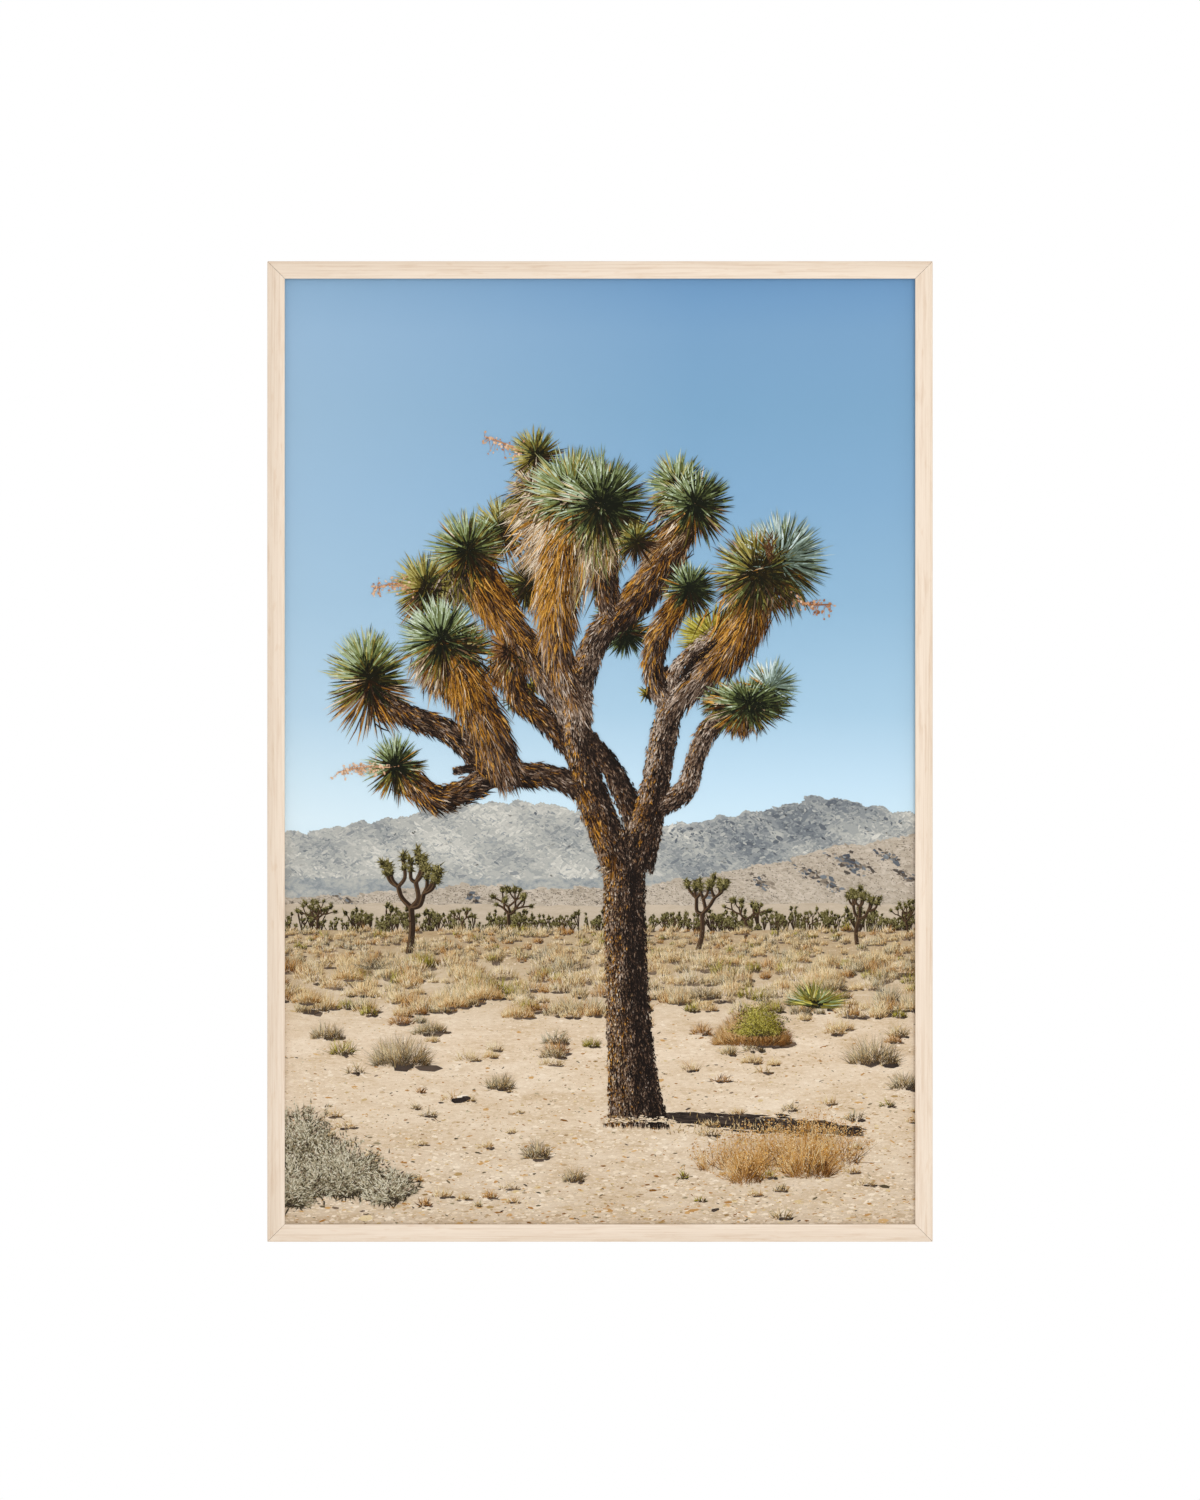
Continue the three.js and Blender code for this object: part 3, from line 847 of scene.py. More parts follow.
def gritPile():
    rng = np.random.default_rng(41)
    pile = newPile()
    many = 26000
    up = groundFar - (groundFar + 4) * rng.uniform(0, 1, many) ** 0.85
    right = rng.uniform(-3, 603, many)
    size = scale(up)
    wide = (rng.gamma(1.6, 0.7, many) + 0.5) * size
    patch = np.sin(right / 47 + 1) * np.sin(up / 19 + right / 90) + 0.5 * np.sin(right / 15 - up / 7)
    value = np.minimum(0.60 + 0.12 * patch + rng.normal(0, 0.15, many), 0.86)
    tone = toneFrom(("sand", "ochre", "grass"), (14, 1, 1), value, rng)
    addDabs(pile, np.stack([right, up], 1), wide, wide * rng.uniform(0.2, 0.45, many),
            rng.normal(0, 0.12, many),
            lifts["grit"] + rng.uniform(0, 0.03, many), tone, rng, 5)
    many = 3000  # small dark stones and twigs
    up = groundFar - 4 - groundFar * rng.uniform(0, 1, many) ** 0.9
    right = rng.uniform(-3, 603, many)
    wide = (rng.gamma(1.3, 0.5, many) + 0.35) * scale(up)
    addDabs(pile, np.stack([right, up], 1), wide * 1.3, wide * 0.4, rng.normal(0, 0.3, many),
            lifts["grit"] + 0.035,
            toneFrom(("scrub", "shade", "ochre"), (2, 1, 2), rng.uniform(0.15, 0.8, many), rng), rng, 5)
    printPile("ground_grit", pile)


gritPile()


def addTuft(pile, foot, high, wide, choices, weights, count, rng, lift, value=0.55, thick=0.8, wild=0.25,
            shade=True,
            seeds=0):
    # a mound of dry grass: stems rise from its whole width, tallest in the middle
    foot = np.array(foot, float)
    size = float(scale(foot[1]))
    across = rng.uniform(-1, 1, count)
    root = foot + np.stack([across * wide / 2, rng.uniform(-0.04, 0.22, count) * high * (1 - across ** 2)],
                           1)
    lean = math.pi / 2 - across * 0.55 + rng.normal(0, wild, count)
    reach = high * np.sqrt(1.06 - across ** 2) * rng.uniform(0.45, 1.0, count)
    tip = root + np.stack([np.cos(lean), np.sin(lean)], 1) * reach[:, None]
    tone = value - 0.20 + 0.32 * (tip[:, 1] - foot[1]) / high - 0.22 * across + rng.normal(0, 0.17, count)
    ink = toneFrom(choices, weights, tone, rng)
    if shade:
        many = 4
        at = foot + np.stack([rng.uniform(-0.1, 0.55, many) * wide, rng.uniform(-0.05, 0.04, many) * high],
                             1)
        addDabs(pile, at, wide * rng.uniform(0.12, 0.26, many), high * 0.10, 0.0, lift - 0.01,
                toneOf("shade", rng.uniform(0.15, 0.55, many) + 0.22 * (size < 0.4)), rng)
    addBlades(pile, root, tip, max(thick * size, 0.42), lift, lift + 0.03, inkStep(ink, -3), ink,
              rng.normal(0, 0.08, count) * reach)
    if seeds:
        spot = tip[rng.integers(0, count, seeds)] + rng.normal(0, 1.4, (seeds, 2))
        addDabs(pile, spot, 0.5, 0.75, rng.uniform(0, 3, seeds), lift + 0.045,
                toneFrom(choices, weights, value + rng.normal(0.08, 0.16, seeds), rng), rng, 5)


def addBush(pile, middle, wide, high, choices, weights, count, rng, lift, leaf=1.6, value=0.5):
    # a loose shrub: twigs fan out from its foot, with small leaves along their outer parts
    foot = np.array((middle[0], middle[1] - high / 2), float)
    size = float(scale(foot[1]))
    many = max(24, count // 12)
    turn = math.pi / 2 + rng.uniform(-1.5, 1.5, many)
    reach = (np.stack([np.cos(turn) * wide / 2, np.sin(turn) * high], 1)
             * rng.uniform(0.55, 1.05, many)[:, None])
    root = foot + np.stack([rng.normal(0, 0.10, many) * wide, rng.uniform(-0.02, 0.10, many) * high], 1)
    addBlades(pile, root, root + reach, max(0.7 * size, 0.4), lift, lift + 0.02,
              toneFrom(("scrub", "shade"), (2, 1), rng.uniform(0.1, 0.4, many), rng),
              toneFrom(("scrub", "grass"), (2, 1), rng.uniform(0.2, 0.6, many), rng),
              rng.normal(0, 1.2, many) * size)
    inner = count // 2  # leaves in the shade inside
    pick = rng.integers(0, many, inner)
    at = (root[pick] + reach[pick] * rng.uniform(0.1, 0.92, (inner, 1))
          + rng.normal(0, 0.04, (inner, 2)) * (wide, high))
    addBlades(pile, at, at + rng.normal(0, leaf * size, (inner, 2)), max(1.6 * size, 0.45), lift + 0.015,
              lift + 0.02, toneFrom(("scrub", "shade"), (3, 1), rng.uniform(0.0, 0.16, inner), rng),
              toneFrom(choices, weights, rng.uniform(0.0, 0.28, inner), rng))
    pick = rng.integers(0, many, count)
    along = rng.beta(2.6, 1.3, count)[:, None]
    at = root[pick] + reach[pick] * along + rng.normal(0, 0.032, (count, 2)) * (wide, high)
    lean = turn[pick] + rng.normal(0, 0.7, count)
    way = np.stack([np.cos(lean), np.sin(lean)], 1) * leaf * size * rng.uniform(0.8, 1.9, count)[:, None]
    spot = (at - foot) / (wide / 2, high)
    tone = value - 0.14 - 0.18 * spot[:, 0] + 0.26 * spot[:, 1] + rng.normal(0, 0.25, count)
    tone = tone + 0.22 * (rng.random(many)[pick] - 0.5)
    ink = toneFrom(choices, weights, tone, rng)
    addBlades(pile, at, at + way, max(1.2 * size, 0.45), lift + 0.03, lift + 0.06, inkStep(ink, -2),
              inkStep(ink, 1))


def groundGrowth():
    rng = np.random.default_rng(51)
    kinds = (  # inks, their shares, tone, height against the usual, width against the height
        (("grass", "ochre"), (3, 1), 0.72, 0.95, 1.35),
        (("grass", "sand"), (3, 1), 0.70, 0.85, 1.6),
        (("scrub", "grass"), (2, 3), 0.60, 1.05, 1.1),
        (("sage", "grass"), (2, 1), 0.56, 1.0, 1.15),
        (("ochre", "rust"), (4, 1), 0.50, 0.85, 1.15),
        (("lime", "grass"), (3, 1), 0.46, 1.05, 1.1),
    )
    # stretches of ground: far and near edges, how many plants, usual height, stems in each, how wild
    bands = (
        ("far_growth", groundFar, 248, 620, 8.5, 34, 0),
        ("middle_growth", 250, 196, 340, 17.0, 84, 0),
        ("open_growth", 194, 150, 30, 16.0, 90, 2),
        ("near_growth", 148, 4, 60, 12.0, 30, 3),
    )
    for name, far, near, many, high, stems, wilder in bands:
        pile = newPile()
        for up in np.sort(rng.uniform(near, far, many))[::-1]:
            kind = kinds[int(rng.choice(6, p=(0.32, 0.18, 0.18, 0.11, 0.14, 0.07)))]
            right = rng.uniform(-6, 606)
            atTrunk = 285 < right < 385 and 60 < up < 130
            atCorner = right > 480 and up < 34  # bare sand, where a tuft could be taken for a signature
            if atTrunk or atCorner:
                continue
            grow = high * kind[3] * rng.uniform(0.45, 1.25)
            addTuft(pile, (right, up), grow, grow * kind[4] * rng.uniform(0.75, 1.3), kind[0], kind[1],
                    stems, rng, lifts["growth"] + (285 - up) * 0.0006, kind[2], 0.8, 0.25 + 0.15 * wilder)
        printPile(name, pile)
    pile = newPile()

    def lift(up):
        return lifts["growth"] + (285 - up) * 0.0006 + 0.04

    # larger plants
    for right, up, high, wide, count in ((500, 44, 62, 36, 420), (465, 52, 46, 36, 130),
                                         (440, 38, 54, 26, 230),
                                         (530, 56, 44, 32, 90), (415, 50, 36, 40, 110),
                                         (480, 60, 40, 60, 120)):
        addTuft(pile, (right, up), high, wide, ("ochre", "orange", "grass"), (6, 2, 1), count, rng,
                lift(up), 0.60, 0.52, 0.42, False, count * 2)
    for right, up, high, wide, count in ((190, 214, 18, 32, 320), (160, 206, 15, 26, 220),
                                         (222, 196, 16, 30, 240),
                                         (60, 232, 14, 28, 180), (20, 210, 17, 26, 220)):
        addTuft(pile, (right, up), high, wide, ("grass", "ochre"), (3, 2), count, rng, lift(up), 0.66, 0.8,
                0.25)
    addTuft(pile, (445, 170), 30, 68, ("ochre", "rust", "grass"), (5, 1, 2), 1500, rng, lift(170), 0.44,
            0.8, 0.4)
    for right, up, high, wide, count in ((110, 150, 34, 50, 420), (240, 62, 20, 22, 160),
                                         (275, 40, 16, 16, 100),
                                         (205, 128, 18, 24, 180), (560, 152, 30, 44, 320),
                                         (590, 128, 20, 24, 150),
                                         (400, 214, 16, 30, 200), (520, 222, 13, 26, 160),
                                         (255, 158, 14, 22, 140),
                                         (40, 176, 18, 28, 200), (140, 182, 13, 26, 140)):
        addTuft(pile, (right, up), high, wide, ("scrub", "grass", "shade"), (4, 3, 1), count, rng, lift(up),
                0.50, 0.7, 0.5)
    # spiny yucca and the yellow-green bush beside it
    many = 170
    turn = math.pi / 2 + rng.uniform(-1.6, 1.6, many)
    root = np.array((505, 208)) + rng.normal(0, 1.6, (many, 2)) * (2, 0.8)
    reach = rng.uniform(20, 32, many)
    tip = root + np.stack([np.cos(turn) * 1.05, np.sin(turn) * 0.85], 1) * reach[:, None]
    value = 0.46 + rng.normal(0, 0.2, many)
    addBlades(pile, root, tip, 1.7, lift(236), lift(236) + 0.04,
              toneFrom(("olive", "leaf"), (1, 1), value - 0.36, rng),
              toneFrom(("olive", "leaf", "lime"), (2, 2, 1), value + 0.06, rng))
    addBush(pile, (452, 196), 48, 34, ("lime", "olive"), (4, 1), 2400, rng, lift(180) + 0.05, 2.6, 0.46)
    addBush(pile, (85, 250), 34, 16, ("scrub", "sage"), (2, 1), 360, rng, lift(245), 2.0, 0.5)
    addBush(pile, (330, 270), 60, 9, ("lime", "sage"), (1, 1), 420, rng, lift(268), 2.0, 0.42)
    # a bleached bit of log
    addDabs(pile, [(166, 118), (172, 119), (169, 121)], (7, 5, 6), (2.8, 2.5, 1.6), 0.1, lift(118),
            [toneOf("shade", 0.0), toneOf("shade", 0.2), toneOf("sand", 0.95)], rng, 8)
    printPile("desert_plants", pile)


groundGrowth()


sun = np.array((-0.82, 0.44, 0.36))
sun /= np.linalg.norm(sun)

# Each limb is a few (right, up, radius) places in mm, from where it starts to its tip.
limbs = {
    "trunk": {"lift": 0.00, "path": ((335, 95, 31), (335, 105, 28), (332, 130, 24), (328, 185, 21),
                                     (325, 250, 19.5), (323, 320, 19.5), (325, 375, 18)),
              "skirt": 0.0, "droop": 0.0, "length": (4.2, 6.5), "light": -0.04, "glow": 0.4, "tan": 2,
              "cracks": 230},
    "crossLimb": {"lift": -0.10, "path": ((340, 365, 12), (330, 395, 11.5), (310, 435, 9.5), (285, 470, 6)),
                  "skirt": 0.0, "droop": 0.1, "length": (5.5, 11), "light": -0.12},
    "rightStem": {"lift": 0.03, "path": ((335, 340, 16), (342, 370, 16), (352, 415, 13.5), (360, 460, 12.5),
                                         (370, 500, 11)),
                  "skirt": 0.05, "droop": 0.1, "length": (5, 11), "pale": (0.45, 0.85, 1.1), "light": -0.03,
                  "glow": 0.45, "cracks": 60},
    "leftMain": {"lift": 0.08, "path": ((320, 340, 16), (305, 375, 16), (290, 415, 15), (280, 460, 13),
                                        (280, 505, 12.5), (290, 545, 11)),
                 "skirt": 0.12, "droop": 0.1, "length": (5.5, 12), "pale": (0.5, 0.9, 1.1), "light": -0.02,
                 "glow": 0.6, "cracks": 60},
    "leftArm": {"lift": 0.12, "path": ((290, 410, 11.5), (260, 425, 10.5), (220, 430, 11.5),
                                       (185, 440, 12.5)),
                "skirt": 0.15, "droop": 0.5, "length": (9, 13), "light": -0.02},
    "jLimb": {"lift": -0.02, "path": ((275, 450, 9.5), (250, 480, 10.5), (222, 505, 11.5), (215, 540, 10)),
              "skirt": 0.55, "droop": 0.35, "length": (10, 16), "light": -0.08},
    "dLimb": {"lift": 0.02, "path": ((270, 480, 9.5), (245, 525, 10.5), (215, 570, 13.5), (188, 605, 15),
                                     (175, 640, 9)),
              "skirt": 0.75, "droop": 0.3, "length": (10, 22), "pale": (-0.1, 0.05, 0.36), "light": -0.02},
    "hLimb": {"lift": 0.06, "path": ((190, 440, 11.5), (155, 470, 10.5), (120, 483, 10.5), (90, 500, 9)),
              "skirt": 0.25, "droop": 0.4, "length": (9, 14), "light": -0.02},
    "iLimb": {"lift": 0.10, "path": ((200, 430, 12.5), (170, 412, 11.5), (140, 407, 11.5), (105, 435, 8)),
              "skirt": 0.45, "droop": 0.35, "length": (9, 17), "light": -0.03},
    "gBough": {"lift": 0.22, "path": ((215, 420, 11), (200, 455, 17), (180, 500, 18.5), (165, 535, 16),
                                      (155, 550, 10)),
               "skirt": 0.95, "droop": 0.25, "length": (15, 26), "light": 0.04},
    "pLimb": {"lift": -0.06, "path": ((370, 495, 7), (366, 515, 6.5), (360, 530, 5)),
              "skirt": 0.0, "droop": 0.1, "length": (7, 10), "light": -0.14},
    "nLimb": {"lift": 0.06, "path": ((365, 490, 9.5), (352, 525, 9.5), (356, 560, 10), (385, 605, 7)),
              "skirt": 0.7, "droop": 0.15, "length": (9, 17), "pale": (-0.2, 0.0, 0.2), "light": 0.0},
    "oLimb": {"lift": 0.10, "path": ((365, 485, 9.5), (390, 515, 12), (420, 545, 15), (442, 580, 16),
                                     (455, 615, 9)),
              "skirt": 0.85, "droop": 0.4, "length": (11, 25), "pale": (-0.1, 0.12, 0.45), "light": 0.0},
    "upperArm": {"lift": 0.07, "path": ((365, 505, 6), (377, 535, 6), (412, 565, 6)),
                 "skirt": 0.1, "droop": 0.2, "length": (6, 12), "pale": (-0.6, 0.4, 1.4), "light": 0.22},
    "armShade": {"lift": 0.16, "path": ((376, 514, 2), (390, 535, 4.5), (412, 555, 4)),
                 "skirt": 0.0, "droop": 0.1, "length": (4, 6), "light": -0.5, "glow": 0.0},
    "rLimb": {"lift": 0.05, "path": ((350, 395, 11), (380, 413, 10), (392, 445, 8.5), (406, 474, 9.5),
                                     (435, 490, 8)),
              "skirt": 0.1, "droop": 0.25, "length": (5.5, 12), "pale": (0.1, 0.5, 0.9), "light": 0.0},
    "rightTop": {"lift": 0.04, "path": ((285, 525, 11), (300, 562, 12), (335, 595, 14), (360, 630, 16),
                                        (390, 685, 8)),
                 "skirt": 0.45, "droop": 0.3, "length": (7, 22), "pale": (-0.2, 0.0, 0.3), "light": -0.10,
                 "glow": 0.5},
    "upright": {"lift": 0.08, "path": ((312, 575, 10), (304, 615, 11.5), (304, 660, 10)),
                "skirt": 0.5, "droop": 0.1, "length": (6, 20), "pale": (-0.2, 0.0, 0.3), "light": -0.13},
    "cBough": {"lift": 0.18, "path": ((284, 485, 8), (262, 535, 13.5), (258, 595, 17), (265, 645, 19.5),
                                      (277, 670, 16)),
               "skirt": 1.0, "droop": 0.15, "length": (15, 26), "pale": (-0.2, 0.0, 0.12), "light": 0.10},
    "stub": {"lift": 0.14, "path": ((180, 435, 4), (160, 431, 3)),
             "skirt": 0.0, "droop": 0.5, "length": (4, 5), "light": -0.1},
}


barkSet = {"perArea": 0.40, "width": (1.1, 1.3), "dark": 0.20, "light": 0.50, "reliefPerMm": 0.010}


def addLimb(pile, limb, rng):
    path = smoothPath(limb["path"])
    lift = lifts["tree"] + limb["lift"]
    run = np.gradient(path[:, :2], axis=0)
    step = np.hypot(run[:, 0], run[:, 1])
    run /= step[:, None]
    side = np.stack([-run[:, 1], run[:, 0]], 1)
    addRibbon(pile, path, lift - 0.02, toneOf("bark", 0.04), 0.93)
    area = 2 * path[:, 2] * step
    short, long = limb["length"]
    dense = barkSet["perArea"] * 10 / short
    many = int(area.sum() * dense)
    pick = rng.choice(len(path), size=many, p=area / area.sum())
    along = pick / (len(path) - 1)
    across = rng.uniform(-1, 1, many)
    facing = np.sqrt(np.maximum(0, 1 - across ** 2))
    root = path[pick, :2] + side[pick] * (across * path[pick, 2])[:, None] + rng.normal(0, 0.6, (many, 2))
    skirt = limb["skirt"] * np.clip(along * 1.5 - 0.1, 0, 1)  # 0 is old bark, 1 is hanging dead leaves
    splay = (0.10 + 0.22 * skirt) * across + rng.normal(0, 0.24 - 0.06 * skirt, many)
    way = -run[pick] * np.cos(splay)[:, None] + side[pick] * np.sin(splay)[:, None]
    way[:, 1] -= limb["droop"] * (0.4 + 0.6 * np.abs(across))
    way /= np.hypot(way[:, 0], way[:, 1])[:, None]
    reach = (short + (long - short) * np.clip(skirt * 1.4, 0, 1)) * rng.uniform(0.5, 1.2, many)
    tip = root + way * reach[:, None]
    normal = np.concatenate([side[pick] * across[:, None], facing[:, None]], 1)
    lit = np.clip(normal @ sun, 0, 1) ** 0.85
    x, y = root.T
    mottle = np.sin(x / 6.1 + y / 17) * np.sin(y / 8.3 - x / 13) + 0.6 * np.sin(across * 11 + y / 21)
    value = (barkSet["dark"] + limb["light"] + barkSet["light"] * lit + 0.07 * mottle
             + rng.normal(0, 0.23, many))
    value = value + 0.26 * (rng.random(many) < 0.10) - 0.22 * (rng.random(many) < 0.12)
    pale = np.clip(np.interp(along, limb.get("pale", (2, 3, 4)), (0, 1, 0)) * 2.5, 0, 1)  # bleached old wood
    value = value + 0.09 * pale
    dead = rng.random(many) < skirt * 0.95 * (1 - pale)
    warm = rng.random(many) < limb.get("glow", 0.2) * lit ** 2 * (1.5 - 0.9 * mottle) * (1 - 0.6 * pale)
    greyed = rng.random(many) < 0.22 + 0.5 * pale + 0.22 * mottle
    bark = np.where(greyed, toneOf("grey", value), toneOf("bark", value))
    bark = np.where(warm, toneFrom(("orange", "rust", "straw"), (3, 2, limb.get("tan", 0.3)), value + 0.04,
                                   rng), bark)
    leafy = toneFrom(("orange", "rust", "straw"), (16, 2, 1), value + 0.12, rng)
    tipTone = np.where(dead, leafy, bark)
    rise = (lift + barkSet["reliefPerMm"] * path[pick, 2] * facing + 0.05 * along
            + rng.uniform(0, 0.012, many))
    width = np.where(dead, barkSet["width"][0], barkSet["width"][1]) * rng.uniform(0.6, 1.2, many)
    addBlades(pile, root, tip, width, rise, rise + 0.006, inkStep(tipTone, -2), tipTone,
              rng.normal(0, 0.05, many) * reach)
    many = limb.get("cracks", 0)  # dark clefts that run along the bark
    pick = rng.integers(4, len(path) - 4, many)
    across = rng.triangular(-0.9, 0.4, 0.95, many)
    root = path[pick, :2] + side[pick] * (-across * path[pick, 2])[:, None]
    reach = rng.uniform(5, 15, many)
    rise = lift + barkSet["reliefPerMm"] * path[pick, 2] * np.sqrt(1 - across ** 2) + 0.066
    addBlades(pile, root, root - run[pick] * reach[:, None] + rng.normal(0, 0.8, (many, 2)),
              rng.uniform(0.7, 1.7, many),
              rise, rise, toneOf("bark", 0.05), toneOf("bark", rng.uniform(0.02, 0.2, many)),
              rng.normal(0, 0.7, many))


headSet = {"perArea": 0.10, "width": 1.6, "reliefPerMm": 0.006, "widest": 2.35}

# Each head: middle, leaf length, way it grows (right, up, towards the viewer), and its colours.
heads = (
    {"name": "tinyTuft", "at": (345, 505), "size": 11, "grow": (-0.5, -0.2, 0.2), "lift": -0.12,
     "ink": "lime", "light": 0.0},
    {"name": "midTuft", "at": (235, 510), "size": 12, "grow": (0.2, 0.6, 0.5), "lift": 0.06, "ink": "lime",
     "light": 0.0},
    {"name": "lowFan", "at": (220, 500), "size": 15, "grow": (-0.6, -0.7, 0.1), "lift": -0.14,
     "ink": "paleLeaf", "light": -0.1},
    {"name": "behindBough", "at": (265, 600), "size": 20, "grow": (0.9, -0.2, 0.2), "lift": -0.14,
     "ink": "blueLeaf", "light": -0.1},
    {"name": "behindKnee", "at": (310, 580), "size": 20, "grow": (-0.9, 0.1, 0.2), "lift": -0.12,
     "ink": "blueLeaf", "light": -0.1},
    {"name": "shyHead", "at": (325, 565), "size": 26, "grow": (-0.1, -0.8, 0.3), "lift": -0.12,
     "ink": "blueLeaf", "light": -0.10},
    {"name": "yellowHead", "at": (410, 555), "size": 36, "grow": (-0.5, 0.7, 0.3), "lift": 0.04,
     "ink": "lime", "light": 0.05},
    {"name": "backLow", "at": (230, 610), "size": 30, "grow": (0.2, -0.1, 0.6), "lift": -0.08,
     "ink": "olive", "light": -0.14},
    {"name": "top", "at": (240, 730), "size": 29, "grow": (-0.25, 0.75, 0.45), "lift": -0.04,
     "ink": "olive", "light": 0.06, "back": 0.6},
    {"name": "rearLeft", "at": (205, 660), "size": 32, "grow": (0.1, 0.9, 0.3), "lift": -0.02,
     "ink": "olive", "light": 0.10, "back": 0.5},
    {"name": "behindFan", "at": (240, 700), "size": 27, "grow": (-0.7, 0.3, 0.3), "lift": -0.02,
     "ink": "straw", "light": 0.06},
    {"name": "smallRight", "at": (335, 650), "size": 24, "grow": (-0.3, 0.7, 0.6), "lift": 0.44,
     "ink": "olive", "light": -0.02},
    {"name": "leftCrown", "at": (175, 640), "size": 40, "grow": (-0.15, 0.55, 0.8), "lift": 0.16,
     "ink": "leaf", "light": 0.04, "back": 0.55},
    {"name": "leftRear", "at": (135, 605), "size": 35, "grow": (-0.3, 0.8, 0.4), "lift": 0.12,
     "ink": "olive", "light": 0.14, "back": 0.5},
    {"name": "brownHead", "at": (215, 545), "size": 27, "grow": (-0.3, 0.4, 0.4), "lift": 0.10,
     "ink": "rust", "light": 0.10},
    {"name": "midLeftSmall", "at": (170, 545), "size": 31, "grow": (0.35, 0.25, 0.8), "lift": 0.30,
     "ink": "leaf", "light": 0.02, "back": 0.5},
    {"name": "midLeft", "at": (150, 555), "size": 43, "grow": (-0.45, 0.65, 0.6), "lift": 0.34,
     "ink": "blueLeaf", "light": 0.10, "back": 0.6},
    {"name": "farLeft", "at": (80, 515), "size": 42, "grow": (-0.15, 0.9, 0.35), "lift": 0.14,
     "ink": "leaf", "light": 0.10, "back": 0.8, "stem": 30},
    {"name": "lowLeft", "at": (105, 435), "size": 31, "grow": (-0.25, 0.5, 0.8), "lift": 0.22,
     "ink": "blueLeaf", "light": 0.06, "back": 0.4},
    {"name": "bigLeft", "at": (275, 690), "size": 49, "grow": (-0.3, 0.8, 0.45), "lift": 0.30,
     "ink": "leaf", "light": 0.12, "back": 1.0},
    {"name": "bigRight", "at": (300, 685), "size": 50, "grow": (0.12, 0.25, 0.95), "lift": 0.40,
     "ink": "blueLeaf", "light": 0.0, "back": 0.7},
    {"name": "rightCrownLeft", "at": (375, 700), "size": 34, "grow": (-0.3, 0.8, 0.4), "lift": 0.20,
     "ink": "leaf", "light": 0.08, "back": 0.4},
    {"name": "rightCrown", "at": (390, 685), "size": 38, "grow": (0.15, 0.25, 0.95), "lift": 0.28,
     "ink": "blueLeaf", "light": 0.0, "back": 0.5},
    {"name": "smallInner", "at": (385, 605), "size": 29, "grow": (0.15, 0.25, 0.9), "lift": 0.26,
     "ink": "blueLeaf", "light": -0.10, "back": 0.2},
    {"name": "rightArm", "at": (450, 620), "size": 46, "grow": (0.0, 0.05, 0.95), "lift": 0.32,
     "ink": "olive", "light": -0.08, "back": 0.9},
    {"name": "rightArmTip", "at": (470, 630), "size": 46, "grow": (0.6, 0.75, 0.25), "lift": 0.26,
     "ink": "paleLeaf", "light": -0.06, "back": 0.3},
    {"name": "lowRightTip", "at": (460, 510), "size": 29, "grow": (0.8, 0.6, 0.1), "lift": 0.20,
     "ink": "paleLeaf", "light": 0.0, "back": 0.2},
    {"name": "lowRightRear", "at": (415, 500), "size": 23, "grow": (-0.3, 0.1, 0.8), "lift": 0.16,
     "ink": "blueLeaf", "light": -0.12, "back": 0.2},
    {"name": "lowRight", "at": (440, 495), "size": 44, "grow": (0.45, 0.25, 0.8), "lift": 0.22,
     "ink": "blueLeaf", "light": -0.02, "back": 0.6, "stem": 10, "squat": 0.62},
)


